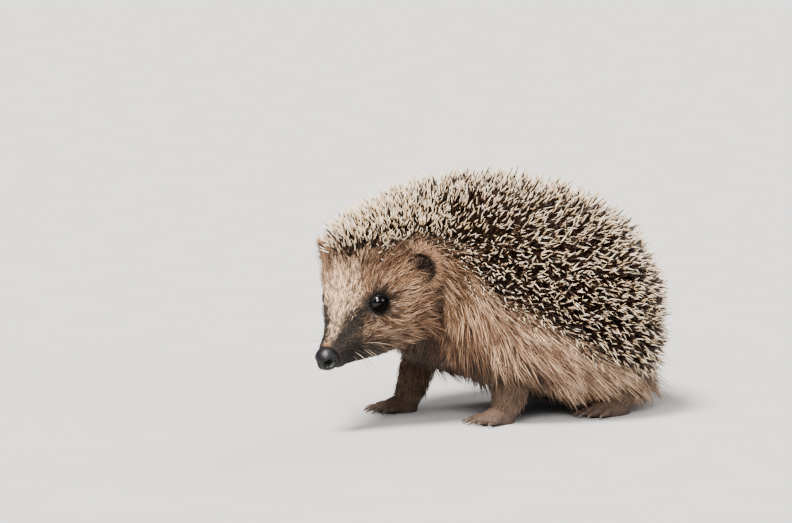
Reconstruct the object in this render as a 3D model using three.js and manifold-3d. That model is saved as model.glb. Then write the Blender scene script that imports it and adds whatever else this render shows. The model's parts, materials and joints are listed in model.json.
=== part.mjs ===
// A young European hedgehog, standing with its head low and turned to its left.
// Millimetres, +Z up. The nose points towards -Y and the animal's left side is at +X.
//
// The body is one smooth tube of sections, from the rump to the muzzle, parted at the neck
// and at the nose pad by flat gaps. Eyes, ears, legs and tail are set on that tube.

import * as THREE from 'three';
import { mergeVertices } from 'three/addons/utils/BufferGeometryUtils.js';
import Module from 'manifold-3d';

// ---------------------------------------------------------------- driving dimensions

const GAP = 0.3;                 // clearance between two nodes that touch
const FLOOR = 0;                 // height of the surface that the feet stand on

// The head, turned and bowed as one rigid form. Lengths run back from the nose tip.
const NOSE_TIP = new THREE.Vector3(18, -102.4, 28);
const HEAD_TURN = 22;            // degrees to the animal's left
const HEAD_BOW = 33;             // degrees downwards
const EYE = { behindNose: 27.7, angle: 24.3, radius: 3.8, proud: 2.1, rim: 0.8, lid: 0.7, clear: 6 };
const EAR = {
  behindNose: 47.2, angle: 22, height: 15, width: 11.4, depth: 7, wall: 1.3, proud: 3.5, facing: 0.8,
  lift: 1.6, clear: 9,
};
const MOUTH = { front: 7.6, corner: 24, dropAtFront: 4.7, dropAtCorner: 6.6, width: 1.1, lip: 0.9 };
const NOSE_PAD = { centre: 3.6, halfWidth: 4.9, halfHeight: 4.7, halfLength: 5.2 };
const NOSTRIL = { behindNose: 0.9, side: 3.5, above: -0.3, radius: 1.2 };
const TOES = 5;
const TOE = { radius: 1.8, spread: 24, claw: 0.9, overFloor: 0.1, sides: 4 };

// The spiny coat and the hair. Heights are measured outwards from the skin, and the core of the
// coat is the closed surface that spines and locks stand on. Of a spine, swing and sway are how far
// it strays from the lie of the coat, sideways and up, and droop is how much flank spines hang. Of a
// lock, fall is the slope of the hair, hang how freely it leaves the flank, curl how far its tip
// bends back to the body, and edge and lowest bound the belt round the body that it grows on.
const SPINY_CORE = 4.8;
const HAIR_CORE = { full: 2, share: 0.28 };      // short hair counts in full, longer hair by a share
const SPINE = {
  length: 8.3, thickness: 1.15, shoulder: 0.6, sunk: 2.2, sides: 3,
  swing: 26, sway: 9, vary: 0.12, droop: 0.22,
};
const SPINE_SPACING = { torso: 6.6, head: 5.4 };
const LOCK = {
  length: 25, width: 9.6, thickness: 1.8, sunk: 3.2, spacing: 7.0, sides: 3, steps: 3,
  fall: 44, swing: 8, vary: 0.14, curl: 2.2, hang: 0.85, rise: 0.1, stray: 1.6,
  overFloor: 2.2, edge: 3, lowest: 142,
};
const RUFF = { length: 13, width: 7.4, thickness: 1.5, spacing: 6.2, from: 38, lowest: 134, hang: 0.35 };
const TRIES = 9000;              // how often a root is tried before a field of roots counts as full
const SEED = 20;

const SQUARENESS = 0.84;         // 1 is an ellipse, less is a squarer section
const TORSO_SIDES = 38;
const HEAD_SIDES = 32;

// Sections of the torso, from rump to shoulders: place of the centre, half width, height of the
// back above the centre, depth of the belly below it, reach of the hair, how far down from the
// ridge of the back the spines grow, in degrees round the section, and how far they lean from
// upright towards the rump, in degrees.
const TORSO_SECTIONS = [
  { y: 45.0, z: 30.0, halfWidth: 0.0, above: 0.0, below: 0.0, hair: 6.5, spinesTo: 130, lean: 24 },
  { y: 44.2, z: 30.0, halfWidth: 11.0, above: 11.0, below: 8.0, hair: 7.0, spinesTo: 130, lean: 26 },
  { y: 41.5, z: 30.5, halfWidth: 19.5, above: 19.5, below: 14.0, hair: 8.5, spinesTo: 130, lean: 32 },
  { y: 36.0, z: 33.0, halfWidth: 28.0, above: 28.0, below: 20.5, hair: 9.5, spinesTo: 128, lean: 38 },
  { y: 26.0, z: 37.0, halfWidth: 35.0, above: 35.0, below: 25.5, hair: 9.5, spinesTo: 124, lean: 42 },
  { y: 9.5, z: 40.0, halfWidth: 38.5, above: 40.0, below: 27.5, hair: 9.5, spinesTo: 117, lean: 42 },
  { y: -9.0, z: 42.0, halfWidth: 38.8, above: 42.5, below: 27.0, hair: 8.0, spinesTo: 101, lean: 40 },
  { y: -28.0, z: 44.0, halfWidth: 36.0, above: 42.4, below: 27.0, hair: 8.0, spinesTo: 90, lean: 32 },
];

// Two sections of the neck, bowed and turned part of the way to the head.
const NECK_SECTIONS = [
  {
    centre: [0.2, -42, 47],
    turn: 5, bow: 7, halfWidth: 32.5, above: 37, below: 26, hair: 6.5, spinesTo: 82, lean: 20,
  },
  {
    centre: [1, -54, 51],
    turn: 12, bow: 18, halfWidth: 28, above: 30.6, below: 24.5, hair: 5.5, spinesTo: 60, lean: 4,
  },
];

// Sections of the head, across its own axis, from the neck to the back of the nose pad.
const HEAD_SECTIONS = [
  { behindNose: 49, halfWidth: 23.2, above: 24.4, below: 20.8, hair: 4.5, spinesTo: 50, lean: -12 },
  { behindNose: 42, halfWidth: 20.6, above: 24.6, below: 18.8, hair: 3.8, spinesTo: 43, lean: -26 },
  { behindNose: 36, halfWidth: 18.4, above: 23.8, below: 17.6, hair: 3.2, spinesTo: 32, lean: -34 },
  { behindNose: 30, halfWidth: 15.8, above: 20.8, below: 16.2, hair: 2.5, spinesTo: 0, lean: -50 },
  { behindNose: 24, halfWidth: 12.8, above: 15.6, below: 14.2, hair: 1.9, spinesTo: 0, lean: -50 },
  { behindNose: 18, halfWidth: 9.6, above: 10.0, below: 11.8, hair: 1.3, spinesTo: 0, lean: -50 },
  { behindNose: 12, halfWidth: 7.0, above: 6.3, below: 9.2, hair: 0.8, spinesTo: 0, lean: -50 },
  { behindNose: 5.3, halfWidth: 4.9, above: 4.7, below: 6.2, hair: 0.2, spinesTo: 0, lean: -50 },
];

// Legs: the path of the bone from inside the body down into the foot, which stands on the floor.
const LEGS = [
  {
    name: 'leg_front_left',
    path: [[22, -24, 34], [23, -22, 22], [23.5, -23, 11], [23.5, -25.5, -4]],
    radii: [8, 7.8, 7, 6.4],
    foot: { x: 23.5, y: -28, turn: 8, halfLength: 8, halfWidth: 6, height: 6, toe: 6.4, claw: 4 },
  },
  {
    name: 'leg_front_right',
    path: [[-22, -34, 36], [-22, -38, 22], [-21.5, -42, 11], [-21, -45.5, -4]],
    radii: [8, 7.8, 6.8, 6.4],
    foot: { x: -21, y: -48, turn: -4, halfLength: 8, halfWidth: 6, height: 6, toe: 6.4, claw: 4 },
  },
  {
    name: 'leg_hind_left',
    path: [[22, 20, 30], [24, 19, 19], [25, 26, 10], [25.5, 28, -4]],
    radii: [11, 9.6, 7.4, 6],
    foot: { x: 26, y: 21, turn: 10, halfLength: 11, halfWidth: 5.8, height: 6.2, toe: 6.4, claw: 3.4 },
  },
  {
    name: 'leg_hind_right',
    path: [[-22, 24, 30], [-24, 24, 19], [-25, 33, 10], [-25.5, 35, -4]],
    radii: [11, 9.6, 7.4, 6],
    foot: { x: -26, y: 28, turn: -10, halfLength: 11, halfWidth: 5.8, height: 6.2, toe: 6.4, claw: 3.4 },
  },
];

const TAIL = { root: [0, 44, 19], tip: [0, 55, 11], radius: 3.2 };

// ---------------------------------------------------------------- finishes

const FINISHES = {
  coat: { color: 0x6b5a49, roughness: 0.9 },
  face: { color: 0xa58f78, roughness: 0.9 },
  skin: { color: 0x4a3f3a, roughness: 0.8 },
  nose: { color: 0x15151a, roughness: 0.35 },
  eye: { color: 0x0a0908, roughness: 0.08 },
};

// ---------------------------------------------------------------- solids

const wasm = await Module();
wasm.setup();

/** Turns a closed three.js geometry into a solid that can be joined and cut. */
function solidOf(geometry) {
  const bare = geometry.clone();
  bare.deleteAttribute('normal');
  bare.deleteAttribute('uv');
  const merged = mergeVertices(bare, 1e-4);
  const faces = [];
  const index = merged.index.array;
  for (let i = 0; i < index.length; i += 3) {
    const [a, b, c] = [index[i], index[i + 1], index[i + 2]];
    if (a !== b && b !== c && c !== a) {
      faces.push(a, b, c);
    }
  }
  const shell = (triangles) => new wasm.Manifold(new wasm.Mesh({
    numProp: 3,
    vertProperties: new Float32Array(merged.attributes.position.array),
    triVerts: new Uint32Array(triangles),
  }));
  const solid = shell(faces);
  return solid.volume() > 0 ? solid : shell(faces.reverse());
}

/** Gives a solid back as a three.js geometry. */
function geometryOf(solid) {
  const mesh = solid.getMesh();
  const geometry = new THREE.BufferGeometry();
  geometry.setAttribute('position', new THREE.BufferAttribute(new Float32Array(mesh.vertProperties), 3));
  geometry.setIndex(new THREE.BufferAttribute(new Uint32Array(mesh.triVerts), 1));
  geometry.computeVertexNormals();
  return geometry;
}

/** The largest closed surface of a solid, without loose scraps and sealed hollows. */
function largestBody(solid) {
  const bodies = solid.decompose();
  return bodies.reduce((best, body) => (body.volume() > best.volume() ? body : best));
}

/** Moves every vertex of a geometry to place(vertex). */
function deform(geometry, place) {
  const position = geometry.attributes.position;
  const vertex = new THREE.Vector3();
  for (let i = 0; i < position.count; i += 1) {
    vertex.fromBufferAttribute(position, i);
    const moved = place(vertex, i);
    position.setXYZ(i, moved.x, moved.y, moved.z);
  }
  return geometry;
}

// ---------------------------------------------------------------- the tube of sections

const RAD = Math.PI / 180;

/** The three directions of something turned to the left and bowed down, both in degrees. */
function directionsOf(turn, bow) {
  const [st, ct] = [Math.sin(turn * RAD), Math.cos(turn * RAD)];
  const [sb, cb] = [Math.sin(bow * RAD), Math.cos(bow * RAD)];
  return {
    forward: new THREE.Vector3(st * cb, -ct * cb, -sb),
    left: new THREE.Vector3(ct, st, 0),
    up: new THREE.Vector3(st * sb, -ct * sb, cb),
  };
}

const HEAD = directionsOf(HEAD_TURN, HEAD_BOW);

/** A point in the head: behind the nose tip, to the animal's left, and above the axis. */
function headPoint(behindNose, side, above) {
  return NOSE_TIP.clone()
    .addScaledVector(HEAD.forward, -behindNose)
    .addScaledVector(HEAD.left, side)
    .addScaledVector(HEAD.up, above);
}

const SECTIONS = [
  ...TORSO_SECTIONS.map((s) => ({ ...s, centre: [0, s.y, s.z], turn: 0, bow: 0 })),
  ...NECK_SECTIONS,
  ...HEAD_SECTIONS.map((s) => ({
    ...s, centre: headPoint(s.behindNose, 0, 0).toArray(), turn: HEAD_TURN, bow: HEAD_BOW,
  })),
];
const NECK_AT = TORSO_SECTIONS.length + 1;       // the last neck section
const MUZZLE_AT = SECTIONS.length - 1;

const channels = new THREE.CubicInterpolant(
  SECTIONS.map((_, i) => i),
  SECTIONS.flatMap((s) => [
    ...s.centre, s.turn, s.bow, s.halfWidth, s.above, s.below, s.hair, s.spinesTo, s.lean,
  ]),
  11,
);

/** The section at a place along the tube, 0 at the rump, with its values blended smoothly. */
function sectionAt(along) {
  const [x, y, z, turn, bow, halfWidth, above, below, hair, spinesTo, lean] = channels.evaluate(along);
  return {
    centre: new THREE.Vector3(x, y, z),
    ...directionsOf(turn, bow),
    halfWidth,
    above,
    below,
    hair,
    spinesTo,
    lean,
  };
}

/** Degrees from the ridge of the back, 0 on top and 180 at the belly, for an angle round a section. */
function fromRidge(angle) {
  return THREE.MathUtils.radToDeg(Math.acos(Math.sin(angle)));
}

/** Makes a sine or cosine squarer, so that a section bulges at its corners. */
function squared(ratio) {
  return Math.sign(ratio) * Math.abs(ratio) ** SQUARENESS;
}

/** A point of the skin: the angle is 0 at the animal's left and a quarter turn on top. */
function skinPoint(along, angle) {
  const s = sectionAt(along);
  const height = Math.sin(angle) > 0 ? s.above : s.below;
  return s.centre
    .addScaledVector(s.left, s.halfWidth * squared(Math.cos(angle)))
    .addScaledVector(s.up, height * squared(Math.sin(angle)));
}

const STEP = 0.02;

/** The outward normal of the skin, from two short steps over it. */
function skinNormal(along, angle) {
  const a = THREE.MathUtils.clamp(along, STEP, MUZZLE_AT - STEP);
  const ahead = skinPoint(a + STEP, angle).sub(skinPoint(a - STEP, angle));
  const around = skinPoint(a, angle + STEP).sub(skinPoint(a, angle - STEP));
  return around.cross(ahead).normalize();
}

/** Height of the coat's core over the skin, higher above the lower edge of the spines. */
function coreHeight(along, angle) {
  const s = sectionAt(along);
  const spiny = THREE.MathUtils.smoothstep(s.spinesTo - fromRidge(angle), -10, 10);
  const hair = Math.min(s.hair, HAIR_CORE.full + HAIR_CORE.share * (s.hair - HAIR_CORE.full));
  return THREE.MathUtils.lerp(hair, SPINY_CORE, s.spinesTo > 1 ? spiny : 0);
}

/** A closed tube over the given places along the body, standing over the skin by height(). */
function bodyTube(places, sides, height) {
  const rows = places.length + 1;
  const tube = new THREE.SphereGeometry(1, sides, rows);
  return deform(tube, (vertex, i) => {
    const row = Math.floor(i / (sides + 1));
    const angle = -((i % (sides + 1)) / sides) * 2 * Math.PI;
    if (row === 0 || row === rows) {
      const end = places[row === 0 ? 0 : places.length - 1];
      const reach = end === 0 ? height(end, 0) : 0;
      const s = sectionAt(end);
      return s.centre.addScaledVector(s.forward, -reach);
    }
    const along = places[row - 1];
    const point = skinPoint(along, angle);
    return point.addScaledVector(skinNormal(along, angle), height(along, angle));
  });
}

/** Evenly spaced places from one to another, both included. */
function span(from, to, count) {
  return Array.from({ length: count }, (_, i) => THREE.MathUtils.lerp(from, to, i / (count - 1)));
}

// ---------------------------------------------------------------- places on the head

const HEAD_LEFT = 0;             // side numbers: the animal's left eye and ear, then the right
const HEAD_RIGHT = 1;

/** The place along the tube that lies a length behind the nose tip, within the head. */
function alongHead(behindNose) {
  const next = HEAD_SECTIONS.findIndex((s, i) => i > 0 && s.behindNose <= behindNose);
  const [a, b] = [HEAD_SECTIONS[next - 1], HEAD_SECTIONS[next]];
  const part = (a.behindNose - behindNose) / (a.behindNose - b.behindNose);
  return TORSO_SECTIONS.length + NECK_SECTIONS.length + next - 1 + part;
}

/** Something set on the skin: its point, and the ways outward, towards the nose and up. */
function seat(behindNose, degrees, side) {
  const along = alongHead(behindNose);
  const angle = (side === HEAD_LEFT ? degrees : 180 - degrees) * RAD;
  const point = skinPoint(along, angle);
  const out = skinNormal(along, angle);
  const fore = HEAD.forward.clone().addScaledVector(out, -HEAD.forward.dot(out)).normalize();
  const up = new THREE.Vector3().crossVectors(out, fore);
  return { point, out, fore, up: up.multiplyScalar(Math.sign(up.z)) };
}

const SIDES = [HEAD_LEFT, HEAD_RIGHT];
const eyeSeats = SIDES.map((side) => seat(EYE.behindNose, EYE.angle, side));
const earSeats = SIDES.map((side) => seat(EAR.behindNose, EAR.angle, side));
const eyeCentres = eyeSeats.map((s) => s.point.clone().addScaledVector(s.out, EYE.proud - EYE.radius));

/** The coat is short round the eyes and parts round the ears. */
function withClearings(height) {
  return (along, angle) => {
    const point = skinPoint(along, angle);
    const eye = Math.min(...eyeSeats.map((s) => s.point.distanceTo(point)));
    const ear = Math.min(...earSeats.map((s) => s.point.distanceTo(point)));
    const open = Math.min(
      THREE.MathUtils.smoothstep(eye, EYE.radius, EYE.radius + EYE.clear),
      THREE.MathUtils.smoothstep(ear, EAR.width / 3, EAR.width / 3 + EAR.clear),
    );
    const full = height(along, angle);
    return THREE.MathUtils.lerp(Math.min(full, EYE.rim), full, open);
  };
}

// ---------------------------------------------------------------- small closed forms

/** An ellipsoid with its own three directions, given as half lengths along them. */
function ellipsoid(centre, axes, halfLengths, sides = 12, rings = 8) {
  return deform(new THREE.SphereGeometry(1, sides, rings), (v) => centre.clone()
    .addScaledVector(axes[0], v.x * halfLengths[0])
    .addScaledVector(axes[1], v.y * halfLengths[1])
    .addScaledVector(axes[2], v.z * halfLengths[2]));
}

/** A closed round form along a smooth path of points, with a radius blended along it. */
function limb(points, radii, sides, rings) {
  const curve = new THREE.CatmullRomCurve3(points.map((p) => new THREE.Vector3(...p)));
  const radiusAt = new THREE.CubicInterpolant(radii.map((_, i) => i / (radii.length - 1)), radii, 1);
  const frames = curve.computeFrenetFrames(rings, false);
  return deform(new THREE.SphereGeometry(1, sides, rings), (v, i) => {
    const row = Math.floor(i / (sides + 1));
    const angle = -((i % (sides + 1)) / sides) * 2 * Math.PI;
    const along = row / rings;
    const radius = row === 0 || row === rings ? 0 : radiusAt.evaluate(along)[0];
    return curve.getPointAt(along)
      .addScaledVector(frames.normals[row], -radius * Math.cos(angle))
      .addScaledVector(frames.binormals[row], radius * Math.sin(angle));
  });
}

/** Sweeps a small closed section along a path of points. */
function sweep(points, section, steps) {
  return new THREE.ExtrudeGeometry(section, {
    steps, bevelEnabled: false, extrudePath: new THREE.CatmullRomCurve3(points),
  });
}

/** A round section with a few sides, for a sweep. */
function roundSection(radius, sides) {
  return new THREE.Shape(Array.from({ length: sides }, (_, i) => new THREE.Vector2(
    radius * Math.cos((2 * Math.PI * i) / sides),
    radius * Math.sin((2 * Math.PI * i) / sides),
  )));
}

// ---------------------------------------------------------------- the core of the body

const TORSO_PLACES = [0, 0.35, ...span(0.8, NECK_AT + 0.4, 17)];
const HEAD_PLACES = [...span(NECK_AT - 0.4, alongHead(36), 7), ...span(alongHead(34), MUZZLE_AT, 12)];

const coreSurface = withClearings(coreHeight);

/** A stretch of the body's core, grown by a clearance where it cuts what grows from it. */
function bodySolid(places, sides, growth) {
  return solidOf(bodyTube(places, sides, (a, t) => coreSurface(a, t) + growth));
}

const group = new THREE.Group();

/** Adds one named sub-part to the model. */
function addPart(name, solid, finish) {
  const mesh = new THREE.Mesh(geometryOf(largestBody(solid)), new THREE.MeshStandardMaterial({
    ...FINISHES[finish], metalness: 0,
  }));
  mesh.name = name;
  group.add(mesh);
}

/** Everything on one side of a plane through a point, as a large block. */
function beyond(point, direction) {
  const size = 400;
  const block = new THREE.BoxGeometry(size, size, size);
  block.translate(0, 0, size / 2);
  block.applyQuaternion(new THREE.Quaternion().setFromUnitVectors(new THREE.Vector3(0, 0, 1), direction));
  block.translate(point.x, point.y, point.z);
  return solidOf(block);
}

const neck = sectionAt(NECK_AT);
const afterNeck = beyond(neck.centre, neck.forward);
const neckBack = neck.centre.clone().addScaledVector(neck.forward, -GAP);
const beforeNeck = beyond(neckBack, neck.forward.clone().negate());
const torsoGrown = bodySolid(TORSO_PLACES, TORSO_SIDES, GAP);
const headGrown = bodySolid(HEAD_PLACES, HEAD_SIDES, GAP);

// ---------------------------------------------------------------- ears

/** The directions of an ear: across, up it, and the way its cup faces, forward and outward. */
function earAxes(side) {
  const { out, fore, up } = earSeats[side];
  const facing = fore.clone().multiplyScalar(EAR.facing).addScaledVector(out, 1).normalize();
  const rise = up.clone().addScaledVector(out, 0.25).addScaledVector(fore, -0.15);
  rise.addScaledVector(facing, -rise.dot(facing)).normalize();
  return [new THREE.Vector3().crossVectors(rise, facing), rise, facing];
}

/** The middle of one ear, a little off the skin and above its seat. */
function earCentre(side) {
  const { point, out, up } = earSeats[side];
  return point.clone().addScaledVector(out, EAR.proud).addScaledVector(up, EAR.lift);
}

/** The outer form of one ear, grown by a clearance where it cuts the coat. */
function earShell(side, growth) {
  const half = [EAR.width, EAR.height, EAR.depth].map((length) => length / 2 + growth);
  return solidOf(ellipsoid(earCentre(side), earAxes(side), half, 12, 7));
}

/** One ear: a shallow cup that stands on the side of the head. */
function ear(side) {
  const axes = earAxes(side);
  const inside = solidOf(ellipsoid(
    earCentre(side).addScaledVector(axes[2], EAR.depth / 2),
    axes,
    [EAR.width / 2 - EAR.wall, EAR.height / 2 - EAR.wall, EAR.depth * 0.65],
    10,
    5,
  ));
  return earShell(side, 0).subtract(inside).subtract(headGrown).subtract(torsoGrown);
}

// ---------------------------------------------------------------- spines and locks

/** A repeatable source of numbers between 0 and 1. */
function randomSource(seed) {
  let state = seed;
  return () => {
    state = (state + 0x6d2b79f5) % 4294967296;
    let mixed = Math.imul(state ^ (state >>> 15), 1 | state);
    mixed = (mixed + Math.imul(mixed ^ (mixed >>> 7), 61 | mixed)) ^ mixed;
    return ((mixed ^ (mixed >>> 14)) >>> 0) / 4294967296;
  };
}

/** A place on the core: its point, the way outward, towards the rump, and down round the body. */
function corePlace(along, angle) {
  const out = skinNormal(along, angle);
  const near = THREE.MathUtils.clamp(along, STEP, MUZZLE_AT - STEP);
  const back = skinPoint(near - STEP, angle).sub(skinPoint(near + STEP, angle)).normalize();
  const down = new THREE.Vector3().crossVectors(out, back).normalize();
  if (down.dot(sectionAt(along).up) > 0) {
    down.negate();
  }
  const point = skinPoint(along, angle).addScaledVector(out, coreSurface(along, angle));
  return { along, angle, point, out, back, down };
}

/** Roots strewn evenly over the core, wherever grows() allows, none nearer than the spacing. */
function strewn(from, to, spacing, grows, random) {
  const roots = [];
  for (let i = 0; i < TRIES; i += 1) {
    const along = THREE.MathUtils.lerp(from, to, random());
    const angle = random() * 2 * Math.PI;
    if (grows(along, angle)) {
      const place = corePlace(along, angle);
      if (roots.every((root) => root.point.distanceTo(place.point) > spacing)) {
        roots.push(place);
      }
    }
  }
  return roots;
}

/** A number spread evenly about zero. */
const spread = (random, range) => (random() * 2 - 1) * range;

/** A closed pointed form: place(t, u, w) gives each point, t from root to tip, u and w round a circle. */
function pointed(sides, steps, place) {
  return deform(new THREE.ConeGeometry(1, 1, sides, steps), (v) => {
    const t = v.y + 0.5;
    const girth = Math.max(1 - t, 1e-6);
    return place(t, v.x / girth, v.z / girth);
  });
}

/** One spine: a shaft of nearly even width with a long point, leaning as the coat does at its root. */
function spine(place, random) {
  const lean = (sectionAt(place.along).lean + spread(random, SPINE.sway)) * RAD;
  const swing = spread(random, SPINE.swing) * RAD;
  const flank = Math.sin(fromRidge(place.angle) * RAD) ** 2;
  const direction = place.out.clone().multiplyScalar(Math.cos(lean))
    .addScaledVector(place.back, Math.sin(lean) * Math.cos(swing))
    .addScaledVector(place.down, Math.sin(Math.abs(lean)) * Math.sin(swing) + SPINE.droop * flank)
    .normalize();
  const across = new THREE.Vector3().crossVectors(direction, place.back).normalize();
  const other = new THREE.Vector3().crossVectors(across, direction);
  const length = SPINE.length * (1 + spread(random, SPINE.vary)) + SPINE.sunk;
  const root = place.point.clone().addScaledVector(direction, -SPINE.sunk);
  return pointed(SPINE.sides, 2, (t, u, w) => {
    const radius = (SPINE.thickness / 2) * (1 - 0.2 * t);
    return root.clone()
      .addScaledVector(direction, length * Math.min(2 * SPINE.shoulder * t, 1))
      .addScaledVector(across, u * radius)
      .addScaledVector(other, w * radius);
  });
}

/** The way the long hair lies: back and down, and close to the body where it would stand off it. */
function hairWay(place, size, random) {
  const slope = (size.fall + spread(random, size.swing)) * RAD;
  const way = new THREE.Vector3(0, Math.cos(slope), -Math.sin(slope));
  const off = way.dot(place.out);
  return way.addScaledVector(place.out, -off + Math.max(off, 0) * size.hang + size.rise).normalize();
}

/** One lock of hair: flat, narrowing to a point, and bending back to the body at its tip. */
function lock(place, size, random) {
  const way = hairWay(place, size, random);
  const across = new THREE.Vector3().crossVectors(way, place.out).normalize();
  const face = new THREE.Vector3().crossVectors(across, way);
  const root = place.point.clone()
    .addScaledVector(way, -size.sunk)
    .addScaledVector(face, -size.thickness / 2);
  const room = root.z - size.overFloor - size.curl;
  const full = size.length * (1 + spread(random, size.vary)) + size.sunk;
  const length = Math.min(full, room / Math.max(-way.z, 0.1));
  const aside = spread(random, size.stray);
  return pointed(size.sides, size.steps, (t, u, w) => {
    const width = (size.width / 2) * Math.sqrt(Math.min(1, 1.25 * (1 - t)));
    const thickness = (size.thickness / 2) * Math.sqrt(Math.min(1, 1.5 * (1 - t)));
    return root.clone()
      .addScaledVector(way, length * t)
      .addScaledVector(face, w * thickness - size.curl * t * t)
      .addScaledVector(across, u * width + aside * t * t);
  });
}

/** Joins many small closed forms into one solid. */
const joined = (forms) => wasm.Manifold.union(forms.map(solidOf));

const onSpines = (along, angle) => fromRidge(angle) < sectionAt(along).spinesTo;
const clearOf = (seats, reach) => (place) => seats.every((s) => s.point.distanceTo(place.point) > reach);

const random = randomSource(SEED);
const torsoSpines = strewn(0.1, NECK_AT, SPINE_SPACING.torso, onSpines, random)
  .map((place) => spine(place, random));
const onFlank = (along, angle) => {
  const down = fromRidge(angle);
  return down > sectionAt(along).spinesTo + LOCK.edge && down < LOCK.lowest;
};
const torsoLocks = strewn(0.9, NECK_AT - 0.1, LOCK.spacing, onFlank, random)
  .map((place) => lock(place, LOCK, random));
const crownFrom = alongHead(37.5);
const headSpines = strewn(NECK_AT, crownFrom, SPINE_SPACING.head, onSpines, random)
  .filter(clearOf(earSeats, EAR.clear))
  .map((place) => spine(place, random));
const onCheek = (along, angle) => {
  const down = fromRidge(angle);
  return down > sectionAt(along).spinesTo + LOCK.edge && down < RUFF.lowest;
};
const ruffSize = { ...LOCK, ...RUFF };
const ruff = strewn(NECK_AT + 0.3, alongHead(RUFF.from), RUFF.spacing, onCheek, random)
  .filter(clearOf(earSeats, EAR.clear))
  .map((place) => lock(place, ruffSize, random));

// ---------------------------------------------------------------- head

/** The line of the mouth, from the left corner round the front to the right, near the surface. */
function mouthLine(count, inset) {
  return span(-1, 1, count).map((t) => {
    const back = THREE.MathUtils.lerp(MOUTH.front, MOUTH.corner, Math.abs(t) ** 1.5);
    const drop = THREE.MathUtils.lerp(MOUTH.dropAtFront, MOUTH.dropAtCorner, Math.abs(t));
    const s = sectionAt(alongHead(back));
    const turn = Math.asin(Math.min(drop / s.below, 0.95));
    const side = (s.halfWidth + s.hair - inset) * Math.cos(turn) * Math.min(Math.abs(t) * 4, 1);
    return headPoint(back - (t === 0 ? 1 : 0), Math.sign(t) * side, -drop);
  });
}

const eyeSockets = eyeCentres.map((centre, side) => {
  const { out, fore, up } = eyeSeats[side];
  const reach = EYE.radius + GAP;
  return solidOf(ellipsoid(centre, [fore, up, out], [reach, reach, reach], 12, 8));
});

const eyeRims = eyeCentres.map((centre, side) => {
  const { out, fore, up } = eyeSeats[side];
  const ring = new THREE.TorusGeometry(EYE.radius, EYE.lid, 4, 12);
  return solidOf(deform(ring, (v) => centre.clone()
    .addScaledVector(fore, v.x * 1.04)
    .addScaledVector(up, v.y * 0.94)
    .addScaledVector(out, v.z + EYE.radius - EYE.proud + EYE.rim)));
});

const lips = [-MOUTH.lip, MOUTH.lip].map((offset) => solidOf(sweep(
  mouthLine(13, 0.6).map((p) => p.addScaledVector(HEAD.up, offset)),
  roundSection(MOUTH.lip, 4),
  14,
)));
const mouthCut = solidOf(sweep(mouthLine(13, -0.3), roundSection(MOUTH.width / 2, 3), 14));

const muzzleEnd = sectionAt(MUZZLE_AT).centre;
const headWhole = wasm.Manifold.union([
  bodySolid(HEAD_PLACES, HEAD_SIDES, 0), ...eyeRims, ...lips, joined(headSpines), joined(ruff),
]);
const head = [...eyeSockets, mouthCut, ...SIDES.map((side) => earShell(side, GAP))].reduce(
  (whole, cut) => whole.subtract(cut),
  headWhole,
).intersect(afterNeck).intersect(beyond(muzzleEnd, HEAD.forward.clone().negate()));

const nosePad = solidOf(ellipsoid(
  headPoint(NOSE_PAD.centre, 0, 0),
  [HEAD.left, HEAD.up, HEAD.forward],
  [NOSE_PAD.halfWidth, NOSE_PAD.halfHeight, NOSE_PAD.halfLength],
  13,
  9,
));
const nostrils = [-1, 1].map((way) => solidOf(ellipsoid(
  headPoint(NOSTRIL.behindNose, way * NOSTRIL.side, NOSTRIL.above),
  [HEAD.left, HEAD.up, HEAD.forward],
  [NOSTRIL.radius, NOSTRIL.radius * 1.25, NOSTRIL.radius * 1.5],
  6,
  4,
)));
const nose = nostrils.reduce((whole, cut) => whole.subtract(cut), nosePad)
  .intersect(beyond(muzzleEnd.clone().addScaledVector(HEAD.forward, GAP), HEAD.forward));

// ---------------------------------------------------------------- legs and tail

const aboveFloor = beyond(new THREE.Vector3(0, 0, FLOOR), new THREE.Vector3(0, 0, 1));

/** One toe with its claw, growing forward from a root: thick for most of its length, then a claw. */
function toe(root, { forward, left, up }, foot, growth) {
  const length = foot.toe + foot.claw;
  const knuckle = foot.toe / length;
  return pointed(TOE.sides, 3, (t, u, w) => {
    const reach = [0, knuckle * 0.8, knuckle, 1][Math.round(t * 3)];
    const radius = (t > 0.5 ? TOE.claw : TOE.radius) + growth;
    return root.clone()
      .addScaledVector(forward, length * reach)
      .addScaledVector(left, u * radius)
      .addScaledVector(up, w * radius - (t > 0.5 ? TOE.radius * 0.6 * t : 0));
  });
}

/** One foot: a flat-soled pad and five toes in a fan, grown by a clearance. */
function footPieces(foot, growth) {
  const { forward, left, up } = directionsOf(foot.turn, 0);
  const heel = new THREE.Vector3(foot.x, foot.y, foot.height * 0.3);
  const pad = [foot.halfWidth + growth, foot.height + growth, foot.halfLength + growth];
  const toes = Array.from({ length: TOES }, (_, i) => {
    const fan = (i - (TOES - 1) / 2) / ((TOES - 1) / 2);
    const root = heel.clone()
      .addScaledVector(forward, foot.halfLength * (0.55 - 0.3 * fan ** 2))
      .addScaledVector(left, foot.halfWidth * 0.72 * fan);
    root.z = TOE.radius + TOE.overFloor;
    return toe(root, directionsOf(foot.turn + fan * TOE.spread, 0), foot, growth);
  });
  return [ellipsoid(heel, [left, up, forward], pad, 10, 6), ...toes];
}

/** A whole leg with its foot, grown by a clearance where it cuts the coat. */
function legForm({ path, radii, foot }, growth) {
  const shank = limb(path, [0.1, ...radii.map((radius) => radius + growth), 0.1], 8, 6);
  return joined([shank, ...footPieces(foot, growth)]);
}

/** One leg, cut clear of the body that it grows from. */
function leg(shape) {
  return legForm(shape, 0).subtract(torsoGrown).intersect(aboveFloor);
}

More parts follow.
